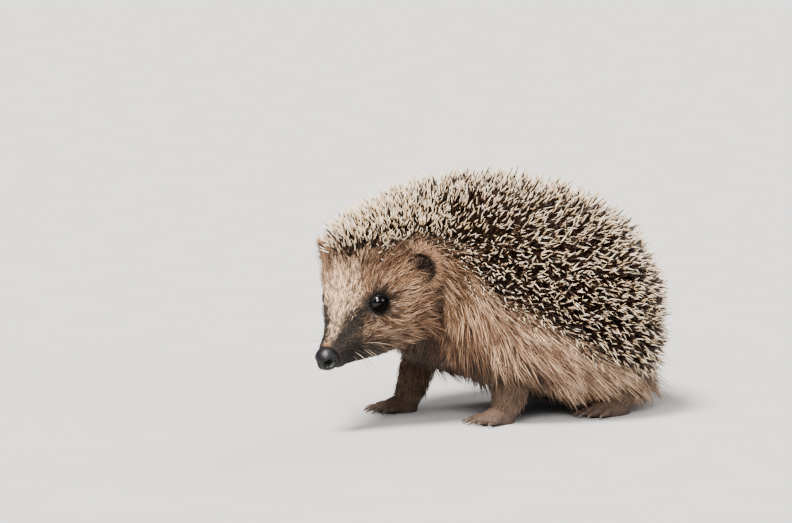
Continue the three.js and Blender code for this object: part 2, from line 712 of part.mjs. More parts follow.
/** The short tail, grown by a clearance where it cuts the coat. */
function tailForm(growth) {
  const [root, tip] = [new THREE.Vector3(...TAIL.root), new THREE.Vector3(...TAIL.tip)];
  const path = [root, root.clone().lerp(tip, 0.5), tip].map((point) => point.toArray());
  const radii = [1, 0.85, 0.5].map((share) => TAIL.radius * share + growth);
  return solidOf(limb(path, [0.1, ...radii, 0.1], 7, 6));
}

const tail = tailForm(0).subtract(torsoGrown);

// ---------------------------------------------------------------- torso

const torsoClear = [
  ...LEGS.map((shape) => legForm(shape, GAP)),
  ...SIDES.map((side) => earShell(side, GAP)),
  tailForm(GAP),
];
const torsoCoat = torsoClear.reduce(
  (coat, cut) => coat.subtract(cut),
  joined([...torsoSpines, ...torsoLocks]),
);
const torso = bodySolid(TORSO_PLACES, TORSO_SIDES, 0).add(torsoCoat).intersect(beforeNeck);

// ---------------------------------------------------------------- the model

addPart('torso', torso, 'coat');
addPart('head', head, 'face');
addPart('nose', nose, 'nose');
[['left', HEAD_LEFT], ['right', HEAD_RIGHT]].forEach(([word, side]) => {
  const { out, fore, up } = eyeSeats[side];
  const ball = ellipsoid(eyeCentres[side], [fore, up, out], [EYE.radius, EYE.radius, EYE.radius], 12, 8);
  addPart(`eye_${word}`, solidOf(ball), 'eye');
  addPart(`ear_${word}`, ear(side), 'skin');
});
LEGS.forEach((shape) => addPart(shape.name, leg(shape), 'skin'));
addPart('tail', tail, 'skin');

// The origin lies on the floor, under the middle of the whole animal.
const size = new THREE.Box3().setFromObject(group);
const middle = size.getCenter(new THREE.Vector3());
group.position.set(-middle.x, -middle.y, -FLOOR);

export default group;
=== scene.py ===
import json
import logging
import math
from dataclasses import dataclass, field
from enum import Enum, IntEnum
from functools import cached_property
from typing import Callable

import bpy
import numpy as np
from mathutils import Matrix


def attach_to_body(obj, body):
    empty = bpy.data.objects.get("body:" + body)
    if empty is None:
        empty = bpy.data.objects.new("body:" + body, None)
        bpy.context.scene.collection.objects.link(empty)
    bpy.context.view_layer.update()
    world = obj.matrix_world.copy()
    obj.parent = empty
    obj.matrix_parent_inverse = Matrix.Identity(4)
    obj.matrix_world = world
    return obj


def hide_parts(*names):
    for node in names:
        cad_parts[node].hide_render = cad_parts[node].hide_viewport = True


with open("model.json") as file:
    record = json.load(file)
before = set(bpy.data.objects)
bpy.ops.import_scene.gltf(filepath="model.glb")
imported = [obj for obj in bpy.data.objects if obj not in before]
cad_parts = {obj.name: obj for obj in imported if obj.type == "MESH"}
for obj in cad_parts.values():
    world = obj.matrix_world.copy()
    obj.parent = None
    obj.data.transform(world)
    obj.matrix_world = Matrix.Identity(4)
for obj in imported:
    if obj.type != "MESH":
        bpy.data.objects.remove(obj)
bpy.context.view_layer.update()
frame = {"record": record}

# A young European hedgehog, standing with its head low and turned to its left. All shapes are
# worked out in millimetres in the animal's own frame: nose towards -Y, its left side at +X, feet
# at height 0. Placing.metres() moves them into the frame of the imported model.

LOG = logging.getLogger("hedgehog")
RAD = math.pi / 180
STEP = 0.02                      # short step along or round the body, for directions on the skin

Array = np.ndarray
Field = Callable[[Array, Array], Array]          # a value from places along and angles round the body
Material = bpy.types.Material
Piece = bpy.types.Object
Socket = bpy.types.NodeSocket


class Slot(Enum):
    """Material slots of the record."""

    COAT = "coat"
    FACE = "face"
    LEGS = "legs"
    SKIN = "skin"
    NOSE = "nose"
    EYE = "eye"


class Side(Enum):
    """The animal's own sides, with the sign of X on each."""

    LEFT = 1
    RIGHT = -1

    @property
    def word(self) -> str:
        """The side in a piece's name."""
        return self.name.lower()


# ---- small helpers


def unit(v: Array) -> Array:
    """Vectors scaled to length one, along the last axis."""
    return v / np.maximum(np.linalg.norm(v, axis=-1, keepdims=True), 1e-9)


def dot(a: Array, b: Array) -> Array:
    """Scalar products along the last axis."""
    return (a * b).sum(axis=-1)


def smooth(x: Array, low: float, high: float) -> Array:
    """0 up to low, 1 from high, and 3t^2 - 2t^3 between them."""
    t = np.clip((x - low) / (high - low), 0, 1)
    return t * t * (3 - 2 * t)


def bump(x: Array, middle: float, reach: float) -> Array:
    """A bell, 1 at the middle and exp(-1/2) at the reach."""
    return np.exp(-0.5 * ((x - middle) / reach) ** 2)


def mix(a: Array, b: Array, share: Array) -> Array:
    """a where the share is 0 and b where it is 1, with the share per row."""
    share = np.asarray(share)[..., None]
    return a * (1 - share) + b * share


def layered(base: Array, *layers: tuple[Array, Array]) -> Array:
    """A colour with others laid over it one by one, each with its share per row."""
    for colour, share in layers:
        base = mix(base, colour, share)
    return base


def linear(*rgb: float) -> Array:
    """A colour given in screen values from 0 to 255, as linear light."""
    return (np.array(rgb, dtype=float) / 255) ** 2.2


def directions(turn: Array, bow: Array) -> tuple[Array, Array, Array]:
    """Forward, left and up of something turned to its left and bowed down.

    Args:
        turn: degrees to the left.
        bow: degrees downwards.

    Returns:
        Three arrays of unit vectors.
    """
    st, ct, sb, cb = np.sin(turn * RAD), np.cos(turn * RAD), np.sin(bow * RAD), np.cos(bow * RAD)
    forward = np.stack([st * cb, -ct * cb, -sb], axis=-1)
    left = np.stack([ct, st, 0 * st], axis=-1)
    up = np.stack([st * sb, -ct * sb, cb], axis=-1)
    return forward, left, up


def wander(along: Array, angle: Array, scale: float, seed: int) -> Array:
    """A smooth random field from -1 to 1 over the body: a sum of six plane waves of seeded direction.

    Args:
        along: places along the body.
        angle: angles round it.
        scale: waves to a section.
        seed: makes the field repeatable.

    Returns:
        One value for each place.
    """
    rng = np.random.default_rng(seed)
    total = np.zeros_like(along)
    for _ in range(6):
        way, start = rng.uniform(0, 2 * math.pi, 2)
        rate = scale * rng.uniform(0.6, 1.5)
        total += np.sin(rate * (along * math.cos(way) + 3 * angle * math.sin(way)) + start)
    return total / 3.2


EVEN_STEPS = (0.7548776662, 0.5698402910)        # 1/g and 1/g^2, where g^3 = g + 1
MARGIN = 0.004                   # strip along the edges of the unit square that stays empty


def even_points(count: int, stray: float, rng: np.random.Generator) -> tuple[Array, Array]:
    """Points spread evenly over the unit square: fractions of multiples of two steps, moved a little.

    Args:
        count: how many points.
        stray: how far each may move.
        rng: draws the moves.

    Returns:
        Their two coordinates.
    """
    n = np.arange(count)
    x, y = (np.clip((0.5 + step * n + rng.uniform(-stray, stray, count)) % 1, MARGIN, 1 - MARGIN)
            for step in EVEN_STEPS)
    return x, y


def uneven(rng: np.random.Generator, count: int, spread: float, low: float, high: float) -> Array:
    """Factors about 1 that differ by the spread and stay between two limits."""
    return (1 + spread * rng.normal(size=count)).clip(low, high)


def with_ends(rows: Array) -> Array:
    """Rows with one more at each end, in line with the two nearest."""
    return np.vstack([2 * rows[0] - rows[1], rows, 2 * rows[-1] - rows[-2]])


def between(rows: Array, at: Array) -> Array:
    """Values between the rows of a table that has its ends added (Catmull-Rom): with a, b, c and d
    the four nearest rows and p the share of the way from b to c, it is
    b + p/2 (c - a + p (2a - 5b + 4c - d + p (3 (b - c) + d - a))).

    Args:
        rows: the table.
        at: places in it, 0 at its first own row.

    Returns:
        One row for each place.
    """
    i = np.clip(np.floor(at).astype(int), 0, len(rows) - 4)
    p = (at - i)[..., None]
    a, b, c, d = (rows[i + k] for k in range(4))
    return b + 0.5 * p * (c - a + p * (2 * a - 5 * b + 4 * c - d + p * (3 * (b - c) + d - a)))


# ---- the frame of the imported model

FRONT_LEFT_FOOT = (23.5, -28.0)  # the sole mount of this foot in the animal's own frame


@dataclass(frozen=True)
class Placing:
    """Moves shapes from the animal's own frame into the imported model's."""

    shift: tuple[float, float]

    @classmethod
    def from_record(cls, record: dict) -> "Placing":
        """Reads the shift off the sole mount of the left front foot."""
        x, y, _ = next(m["pos_m"] for m in record["mounts"] if m["name"] == "sole_front_left")
        return cls((1000 * x - FRONT_LEFT_FOOT[0], 1000 * y - FRONT_LEFT_FOOT[1]))

    def metres(self, points: Array) -> Array:
        """Points in millimetres in the animal's frame, as metres in the model's."""
        return (points + np.array([*self.shift, 0.0])) / 1000


PLACING = Placing.from_record(frame["record"])

# ---- the form of the body

NOSE_TIP = np.array([18.0, -102.4, 28.0])
HEAD_TURN = 22.0
HEAD_BOW = 33.0
HEAD_FORWARD, HEAD_LEFT, HEAD_UP = directions(np.float64(HEAD_TURN), np.float64(HEAD_BOW))

# Torso: y, height of the centre, half width, reach above it, reach below it, depth of the hair,
# degrees from the ridge down to which spines grow, lean of the spines towards the rump.
TORSO = (
    (45.0, 30.0, 0.0, 0.0, 0.0, 6.5, 130, 24),
    (44.2, 30.0, 11.0, 11.0, 8.0, 7.0, 130, 26),
    (41.5, 30.5, 19.5, 19.5, 14.0, 8.5, 130, 32),
    (36.0, 33.0, 28.0, 28.0, 20.5, 9.5, 128, 38),
    (26.0, 37.0, 35.0, 35.0, 25.5, 9.5, 124, 42),
    (9.5, 40.0, 38.5, 40.0, 27.5, 9.5, 117, 42),
    (-9.0, 42.0, 38.8, 42.5, 27.0, 8.0, 101, 40),
    (-28.0, 44.0, 36.0, 42.4, 27.0, 8.0, 90, 32),
)
# Neck: centre, turn, bow, then as for the torso.
NECK = (
    (0.2, -42, 47, 5, 7, 32.5, 37.0, 26.0, 6.5, 82, 20),
    (1.0, -54, 51, 12, 18, 28.0, 30.6, 24.5, 5.5, 55, 4),
)
# Head: length behind the nose tip, then as for the torso.
HEAD = (
    (49.0, 23.2, 24.4, 20.8, 4.5, 42, -12),
    (42.0, 20.6, 24.6, 18.8, 3.8, 34, -26),
    (36.0, 18.4, 23.8, 17.6, 3.2, 17, -34),
    (30.0, 15.8, 20.8, 16.2, 2.5, 0, -50),
    (24.0, 12.8, 15.6, 14.2, 1.9, 0, -50),
    (18.0, 9.6, 10.0, 11.8, 1.3, 0, -50),
    (12.0, 7.0, 6.3, 9.2, 0.8, 0, -50),
    (5.3, 4.9, 4.7, 6.2, 0.2, 0, -50),
)
FIRST_HEAD = len(TORSO) + len(NECK)
MUZZLE_END = FIRST_HEAD + len(HEAD) - 1
LEAST_FIELD = 12                 # degrees: where spines would grow less far down than this, none grow


class Column(IntEnum):
    """What a section's row holds after its centre."""

    TURN = 3
    BOW = 4
    HALF_WIDTH = 5
    ABOVE = 6
    BELOW = 7
    HAIR = 8
    SPINES_TO = 9
    LEAN = 10


def along_head(behind_nose: float) -> float:
    """The place along the body that lies a length behind the nose tip, within the head."""
    lengths = np.array([row[0] for row in HEAD])
    return float(np.interp(-behind_nose, -lengths, FIRST_HEAD + np.arange(len(HEAD))))


def head_place(points: Array) -> tuple[Array, Array, Array]:
    """Length behind the nose tip, to the animal's left, and above the head's axis, of points."""
    off = points - NOSE_TIP
    return -off @ HEAD_FORWARD, off @ HEAD_LEFT, off @ HEAD_UP


def head_point(behind: float, side: float, above: float) -> Array:
    """A point in the head, the other way round."""
    return NOSE_TIP - behind * HEAD_FORWARD + side * HEAD_LEFT + above * HEAD_UP


def from_ridge(angle: Array) -> Array:
    """Degrees down from the ridge of the back, 0 on top and 180 at the belly."""
    return np.degrees(np.arccos(np.clip(np.sin(angle), -1, 1)))


@dataclass(frozen=True)
class Place:
    """Places on the skin, and what the body is like there, one row each."""

    along: Array
    angle: Array
    point: Array
    out: Array                   # ways: off the skin, to the rump, and down the body
    back: Array
    down: Array
    ridge: Array                 # degrees down from the ridge of the back
    hair: Array                  # depth of the close hair
    spines_to: Array             # degrees from the ridge down to which spines grow
    lean: Array                  # degrees that the spines lean back

    @property
    def side(self) -> Array:
        """1 on the animal's left and -1 on its right."""
        return np.where(np.cos(self.angle) >= 0, 1.0, -1.0)


@dataclass(frozen=True)
class BodyForm:
    """The tube of sections that the skin follows, from the rump to the muzzle."""

    squareness: float = 0.84     # 1 is an ellipse, less is a squarer section

    @cached_property
    def table(self) -> Array:
        """One row a section: centre, turn, bow, half width, above, below, hair, spines to, lean."""
        torso = [(0.0, y, z, 0.0, 0.0, *rest) for y, z, *rest in TORSO]
        head = [(*head_point(d, 0, 0), HEAD_TURN, HEAD_BOW, *rest) for d, *rest in HEAD]
        return with_ends(np.array([*torso, *NECK, *head], dtype=float))

    def section(self, along: Array) -> Array:
        """The section at each place."""
        return between(self.table, along)

    def spines_to(self, along: Array) -> Array:
        """Degrees from the ridge down to which spines grow at each place."""
        return self.section(along)[..., Column.SPINES_TO]

    def point(self, along: Array, angle: Array) -> Array:
        """Points of the skin: centre + half width * cosine to the left + height * sine upwards, in each
        section's own directions, with cosine and sine raised to the power of the squareness.

        Args:
            along: places along the body, 0 at the rump and MUZZLE_END at the muzzle.
            angle: angles round it, 0 at the animal's left and a quarter turn on top.

        Returns:
            One point for each pair.
        """
        s = self.section(along)
        _, left, up = directions(s[..., Column.TURN], s[..., Column.BOW])
        cos, sin = np.cos(angle), np.sin(angle)
        height = np.where(sin > 0, s[..., Column.ABOVE], s[..., Column.BELOW])
        across = s[..., Column.HALF_WIDTH] * np.sign(cos) * np.abs(cos) ** self.squareness
        rise = height * np.sign(sin) * np.abs(sin) ** self.squareness
        return s[..., :3] + across[..., None] * left + rise[..., None] * up

    def normal(self, along: Array, angle: Array) -> Array:
        """Outward normals of the skin, from a short step each way."""
        a = np.clip(along, STEP, MUZZLE_END - STEP)
        ahead = self.point(a + STEP, angle) - self.point(a - STEP, angle)
        around = self.point(a, angle + STEP) - self.point(a, angle - STEP)
        return unit(np.cross(around, ahead))

    def place(self, along: Array, angle: Array) -> Place:
        """Points of the skin with their directions and the section's numbers."""
        out = self.normal(along, angle)
        near = np.clip(along, STEP, MUZZLE_END - STEP)
        back = unit(self.point(near - STEP, angle) - self.point(near + STEP, angle))
        down = unit(np.cross(out, back))
        s = self.section(along)
        _, _, up = directions(s[..., Column.TURN], s[..., Column.BOW])
        down = np.where(dot(down, up)[..., None] > 0, -down, down)
        return Place(along, angle, self.point(along, angle), out, back, down, from_ridge(angle),
                     s[..., Column.HAIR], s[..., Column.SPINES_TO], s[..., Column.LEAN])


BODY = BodyForm()

# ---- sizes of the face


@dataclass(frozen=True)
class Seat:
    """Something set on the skin of the head, with the ways outward, forward and up."""

    point: Array
    out: Array
    fore: Array
    up: Array

    @classmethod
    def at(cls, behind_nose: float, degrees: float, side: Side) -> "Seat":
        """The seat at a length behind the nose tip and an angle up from the side of the head."""
        turn = degrees if side is Side.LEFT else 180 - degrees
        place = BODY.place(np.array([along_head(behind_nose)]), np.array([turn * RAD]))
        out = place.out[0]
        fore = unit(HEAD_FORWARD - dot(HEAD_FORWARD, out) * out)
        up = np.cross(out, fore)
        return cls(place.point[0], out, fore, up * np.sign(up[2]))


@dataclass(frozen=True)
class EyeSizes:
    """The eyeball and its place in the head."""

    behind_nose: float = 27.7
    angle: float = 24.3          # degrees up from the side of the head
    radius: float = 3.8
    proud: float = 2.1           # how far the ball stands off the skin

    def seat(self, side: Side) -> Seat:
        """Where the eye sits."""
        return Seat.at(self.behind_nose, self.angle, side)

    def centre(self, side: Side) -> Array:
        """The middle of the ball."""
        seat = self.seat(side)
        return seat.point + (self.proud - self.radius) * seat.out


@dataclass(frozen=True)
class EarSizes:
    """The cup of the ear and its place in the head."""

    behind_nose: float = 47.2
    angle: float = 22.0          # degrees up from the side of the head
    height: float = 15.0
    width: float = 11.4
    depth: float = 7.0
    lip: float = 0.9             # how far the edge of the cup stands over the ear's middle
    proud: float = 3.5           # how far the ear's middle stands off the skin, and over its seat
    lift: float = 1.6
    facing: float = 0.8          # how far the cup looks forward, against outward

    def seat(self, side: Side) -> Seat:
        """Where the ear grows."""
        return Seat.at(self.behind_nose, self.angle, side)

    def cup(self, share: Array) -> Array:
        """How far the cup lies out of the ear's middle, at a share of the way from there to the rim."""
        return self.lip - 0.62 * self.depth * (1 - np.minimum(share / 0.86, 1) ** 2)

    def axes(self, side: Side) -> tuple[Array, Array, Array, Array]:
        """The ear's middle, and its ways across, up it, and out of its cup."""
        seat = self.seat(side)
        facing = unit(self.facing * seat.fore + seat.out)
        rise = seat.up + 0.25 * seat.out - 0.15 * seat.fore
        rise = unit(rise - dot(rise, facing) * facing)
        middle = seat.point + self.proud * seat.out + self.lift * seat.up
        return middle, np.cross(rise, facing), rise, facing


EYE = EyeSizes()
EAR = EarSizes()
EYE_SEATS = {side: EYE.seat(side) for side in Side}
EAR_SEATS = {side: EAR.seat(side) for side in Side}


def distance_to(seats: dict[Side, Seat], points: Array) -> Array:
    """Distance from each point to the nearer seat of a pair."""
    return np.min([np.linalg.norm(points - s.point, axis=-1) for s in seats.values()], axis=0)


# ---- surfaces

BAKE_MAP = "OFBake"


def store(mesh: bpy.types.Mesh, key: str, value: Array) -> None:
    """Stores a number or a colour for every point of a mesh."""
    coloured = value.ndim == 2
    kind = "FLOAT_COLOR" if coloured else "FLOAT"
    attribute = mesh.attributes.get(key) or mesh.attributes.new(key, kind, "POINT")
    if coloured:
        value = np.concatenate([value, np.ones((len(value), 1))], axis=1)
    attribute.data.foreach_set("color" if coloured else "value", value.astype(np.float32).ravel())


@dataclass
class Surface:
    """Points with faces of three and four corners, UV corners and values for each point."""

    points: Array
    faces: list[Array]
    corners: list[Array] = field(default_factory=list)
    values: dict[str, Array] = field(default_factory=dict)

    def joined(self, *others: "Surface") -> "Surface":
        """This surface and others as one, side by side."""
        parts = [self, *others]
        starts = np.cumsum([0] + [len(p.points) for p in parts[:-1]])
        return Surface(
            np.concatenate([p.points for p in parts]),
            [f + start for p, start in zip(parts, starts) for f in p.faces],
            [c for p in parts for c in p.corners],
            {key: np.concatenate([p.values[key] for p in parts]) for key in self.values},
        )

    def mesh(self, name: str) -> bpy.types.Mesh:
        """The surface as a Blender mesh in metres, with smooth faces."""
        mesh = bpy.data.meshes.new(name)
        mesh.vertices.add(len(self.points))
        mesh.vertices.foreach_set("co", PLACING.metres(self.points).astype(np.float32).ravel())
        sizes = np.concatenate([np.full(len(f), f.shape[1]) for f in self.faces])
        mesh.loops.add(int(sizes.sum()))
        corners = np.concatenate([f.ravel() for f in self.faces])
        mesh.loops.foreach_set("vertex_index", corners.astype(np.int32))
        mesh.polygons.add(len(sizes))
        starts = np.concatenate([[0], np.cumsum(sizes)[:-1]])
        mesh.polygons.foreach_set("loop_start", starts.astype(np.int32))
        mesh.update(calc_edges=True)
        if self.corners:
            layer = mesh.uv_layers.new(name=BAKE_MAP)
            flat = np.concatenate([c.reshape(-1, 2) for c in self.corners])
            layer.data.foreach_set("uv", flat.astype(np.float32).ravel())
        for key, value in self.values.items():
            store(mesh, key, value)
        mesh.shade_smooth()
        return mesh

    def piece(self, name: str, material: Material, slot: Slot) -> Piece:
        """The surface as a piece of the animal, with its finish."""
        return attach(stand(name, self.mesh(name), material))


def stand(name: str, mesh: bpy.types.Mesh, material: Material | None = None) -> Piece:
    """An object at the origin, unturned and unscaled, that shows a mesh."""
    piece = bpy.data.objects.new(name, mesh)
    bpy.context.scene.collection.objects.link(piece)
    if material is not None:
        mesh.materials.clear()
        mesh.materials.append(material)
    return piece


def attach(piece: Piece) -> Piece:
    """Fixes a piece to the model's one body."""
    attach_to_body(piece, "root")
    return piece


def settle(piece: Piece) -> Piece:
    """Applies a piece's modifiers to its mesh."""
    graph = bpy.context.evaluated_depsgraph_get()
    mesh = bpy.data.meshes.new_from_object(piece.evaluated_get(graph), preserve_all_data_layers=True,
                                           depsgraph=graph)
    piece.modifiers.clear()
    piece.data = mesh
    return piece


def lattice(rows: int, columns: int, turned: bool = False) -> Array:
    """Four-cornered faces between rings of points: corner (i, j), (i, j+1), (i+1, j+1), (i+1, j),
    with j running round and closing on itself.

    Args:
        rows: number of rings.
        columns: points in a ring.
        turned: whether the faces look the other way.

    Returns:
        An array of faces.
    """
    i, j = np.meshgrid(np.arange(rows - 1), np.arange(columns), indexing="ij")
    k = (j + 1) % columns
    here, there = i * columns, (i + 1) * columns
    faces = np.stack([here + j, here + k, there + k, there + j], axis=-1).reshape(-1, 4)
    return faces[:, ::-1] if turned else faces


def fan(ring: int, pole: int, columns: int, turned: bool = False) -> Array:
    """Triangles from a ring of points to one pole."""
    j = np.arange(columns)
    faces = np.stack([ring + j, np.full(columns, pole), ring + (j + 1) % columns], axis=-1)
    return faces[:, ::-1] if turned else faces


def closed_tube(rings: Array, start: Array, end: Array, turned: bool = False) -> Surface:
    """Rings of points skinned into a closed form with a pole at each end."""
    rows, columns, _ = rings.shape
    points = np.concatenate([rings.reshape(-1, 3), start[None], end[None]])
    poles = rows * columns
    return Surface(points, [
        lattice(rows, columns, turned=turned),
        fan(0, poles, columns, turned),
        fan((rows - 1) * columns, poles + 1, columns, not turned),
    ])


def with_poles(values: Array) -> Array:
    """Values for the rings of a closed tube, with its two poles' added."""
    return np.concatenate([values, values[:1], values[-1:]])


def ball(centre: Array, axes: tuple, half: tuple, rows: int = 24, columns: int = 32) -> Surface:
    """An ellipsoid: centre + a cos u sin v + b sin u sin v + c cos v, with poles on the third axis."""
    v = np.linspace(0, math.pi, rows + 2)[1:-1, None]
    u = np.linspace(0, 2 * math.pi, columns, endpoint=False)[None, :]
    local = np.stack([half[0] * np.cos(u) * np.sin(v), half[1] * np.sin(u) * np.sin(v),
                      half[2] * np.cos(v) + 0 * u], axis=-1)
    frame_of = np.array(axes)
    pole = half[2] * frame_of[2]
    right_handed = dot(np.cross(frame_of[0], frame_of[1]), frame_of[2]) > 0
    return closed_tube(centre + local @ frame_of, centre + pole, centre - pole, turned=right_handed)


def path_through(points: Array, count: int) -> tuple[Array, Array]:
    """A smooth path through a few points (Catmull-Rom), and its direction at each place."""
    path = between(with_ends(points), np.linspace(0, len(points) - 1, count))
    return path, unit(np.gradient(path, axis=0))


def limb(points: Array, radii: Array, rows: int, columns: int, flat: float = 1.0) -> Surface:
    """A round closed form along a path: rings of the blended radius across the path, with round ends.

    Args:
        points: what the path runs through.
        radii: radius at each of them.
        rows: rings along it.
        columns: points in a ring.
        flat: height of a ring as a share of its width.

    Returns:
        The closed surface.
    """
    path, way = path_through(points, rows)
    radius = np.interp(np.linspace(0, 1, rows), np.linspace(0, 1, len(radii)), radii)
    across = unit(np.cross(way, np.where(np.abs(way[:, 2:]) > 0.9, [[0.0, 1.0, 0.0]], [[0.0, 0.0, 1.0]])))
    other = np.cross(across, way)
    steps = np.linalg.norm(np.diff(path, axis=0), axis=1).sum() * np.linspace(0, 1, rows)
    room = np.minimum(steps, steps[::-1]) / np.maximum(radius, 1e-6)
    radius = radius * np.sqrt(np.clip(1 - (1 - np.clip(room, 0, 1)) ** 2, 0.02, 1))
    u = np.linspace(0, 2 * math.pi, columns, endpoint=False)[None, :, None]
    rings = path[:, None] + radius[:, None, None] * (
        np.cos(u) * across[:, None] + flat * np.sin(u) * other[:, None])
    return closed_tube(rings, path[0], path[-1], turned=True)


# ---- markings

CREAM = linear(222, 180, 142)
PALE = linear(240, 204, 170)     # single pale hairs in every part of the coat
BUFF = linear(160, 112, 74)
GOLDEN = linear(132, 88, 54)
UMBER = linear(78, 50, 32)
STRIPE = linear(34, 24, 20)
MUZZLE = linear(38, 30, 27)
SKIRT = linear(164, 124, 96)
BELLY = linear(66, 46, 33)
LEG = linear(98, 78, 63)
# dark brown of the ear's skin, laid on darker still in and round the ear as painted shade
HOLLOW = linear(56, 38, 28)
# dark skin and hair under the spines, with painted shade among the spines
UNDERCOAT_AND_SHADE = linear(34, 22, 16)


@dataclass(frozen=True)
class Markings:
    """The colours of the coat, shared by the skin and the hair that grows from it, with painted shade and
    painted light among them.
    """

    def stripe(self, d: Array, s: Array, h: Array) -> Array:
        """The dark line from the front of each eye to the nose pad: a bell across a bent line."""
        middle = np.interp(d, [5.0, 7.0, 15.0, 23.0, 29.0], [2.6, 3.4, 6.4, 9.0, 9.6])
        width = np.interp(d, [6.0, 15.0, 24.0, 29.0], [3.3, 2.9, 2.4, 2.4])
        return bump(h, middle, width) * smooth(d, 28.5, 24.5) * smooth(np.abs(s), 1.0, 4.0)

    def face(self, place: Place) -> Array:
        """Colours on the head and neck."""
        d, s, h = head_place(place.point)
        ridge = place.ridge
        eye, ear = (distance_to(seats, place.point) for seats in (EYE_SEATS, EAR_SEATS))
        side = ridge + 45 * smooth(d, 21, 28)
        pale = smooth(side, 72, 40) * smooth(d, 41, 33) * smooth(d, 8.5, 12.5)
        temple = smooth(d, 24, 30) * smooth(ridge, 2, 18) * smooth(ridge, 62, 40)
        nose_top = bump(d, 11.4, 1.8) * bump(s, 0, 3.0) * smooth(h, 3, 5)
        behind = np.hypot(d - 42.0, 1.3 * (np.abs(s) - 20.5)) + 0.5 * np.abs(h + 1.0)
        return layered(
            mix(GOLDEN, BUFF, smooth(ridge, 95, 60)),
            (GOLDEN, 0.7 * smooth(d, 23, 30) * smooth(ridge, 6, 24) * smooth(ridge, 85, 60)),
            (CREAM, pale),                                                      # brow and bridge
            (UMBER, 0.75 * smooth(ridge, 96, 128) * smooth(d, 60, 46)),         # throat
            (CREAM, 0.35 * bump(ridge, 118, 16) * bump(d, 21, 6)),              # lower lip
            (UMBER, 0.4 * bump(ridge, 103, 13) * bump(d, 31, 8)),               # corner of the mouth
            (MUZZLE, 0.95 * smooth(d, 20.5, 12.5) * smooth(ridge, 46, 78)),     # side of the muzzle
            (MUZZLE, 0.9 * smooth(d, 12.5, 8.8) * smooth(ridge, -22, 30)),      # ring at the nose pad
            (UMBER, 0.8 * temple),
            (MUZZLE * 1.5, 0.8 * smooth(ridge, 96, 110) * smooth(d, 28, 22)),   # chin
            (STRIPE, 0.6 * nose_top),
            (STRIPE, np.clip(1.15 * self.stripe(d, s, h), 0, 1)),
            (STRIPE, 0.85 * smooth(eye, 5.3, 4.4)),
            # dark skin round the ear, with painted shade where the ear stands over the head
            (HOLLOW, 0.7 * smooth(ear, 10.0, 4.5)),
            (UMBER * 0.6, 0.9 * smooth(behind, 9.5, 3.0)),                      # shadow behind the cheek
        )

    def trunk(self, place: Place) -> Array:
        """Colours behind the neck: dark under the spines, partly painted shade, buff on the flank, paler at
        the rump, partly painted light, and brown at the belly.
        """
        along, ridge = place.along, place.ridge
        # painted light on the rear: the belly's brown starts lower towards the rump
        low = ridge - 42 * smooth(along, 3.4, 1.2)
        return layered(
            mix(SKIRT, BELLY, smooth(low, 124, 162)),
            (CREAM, 0.95 * smooth(along, 3.2, 1.4)),                            # rump: the coat's cream, partly painted light on the rear
            (GOLDEN, 0.4 * smooth(along, 6.0, 8.6)),                            # neck
            (BELLY * 0.8, smooth(ridge, 102, 128) * smooth(along, 5.8, 7.0)),   # chest: the belly's brown, darkened further as painted shade under the neck
            # painted shade among the spines, over the dark skin under them
            (UNDERCOAT_AND_SHADE, smooth(place.spines_to - ridge, 1, 11)),
        )

    def colour(self, place: Place) -> Array:
        """The colour of the coat at each place, as linear light."""
        head = smooth(place.along, 7.8, 9.6)
        # under the spines: dark skin, with painted shade among the spines
        under = smooth(place.spines_to - place.ridge, 1, 9) * (place.spines_to > 1)
        return mix(mix(self.trunk(place), self.face(place), head), UNDERCOAT_AND_SHADE, 0.9 * under)


MARKINGS = Markings()

# ---- finishes


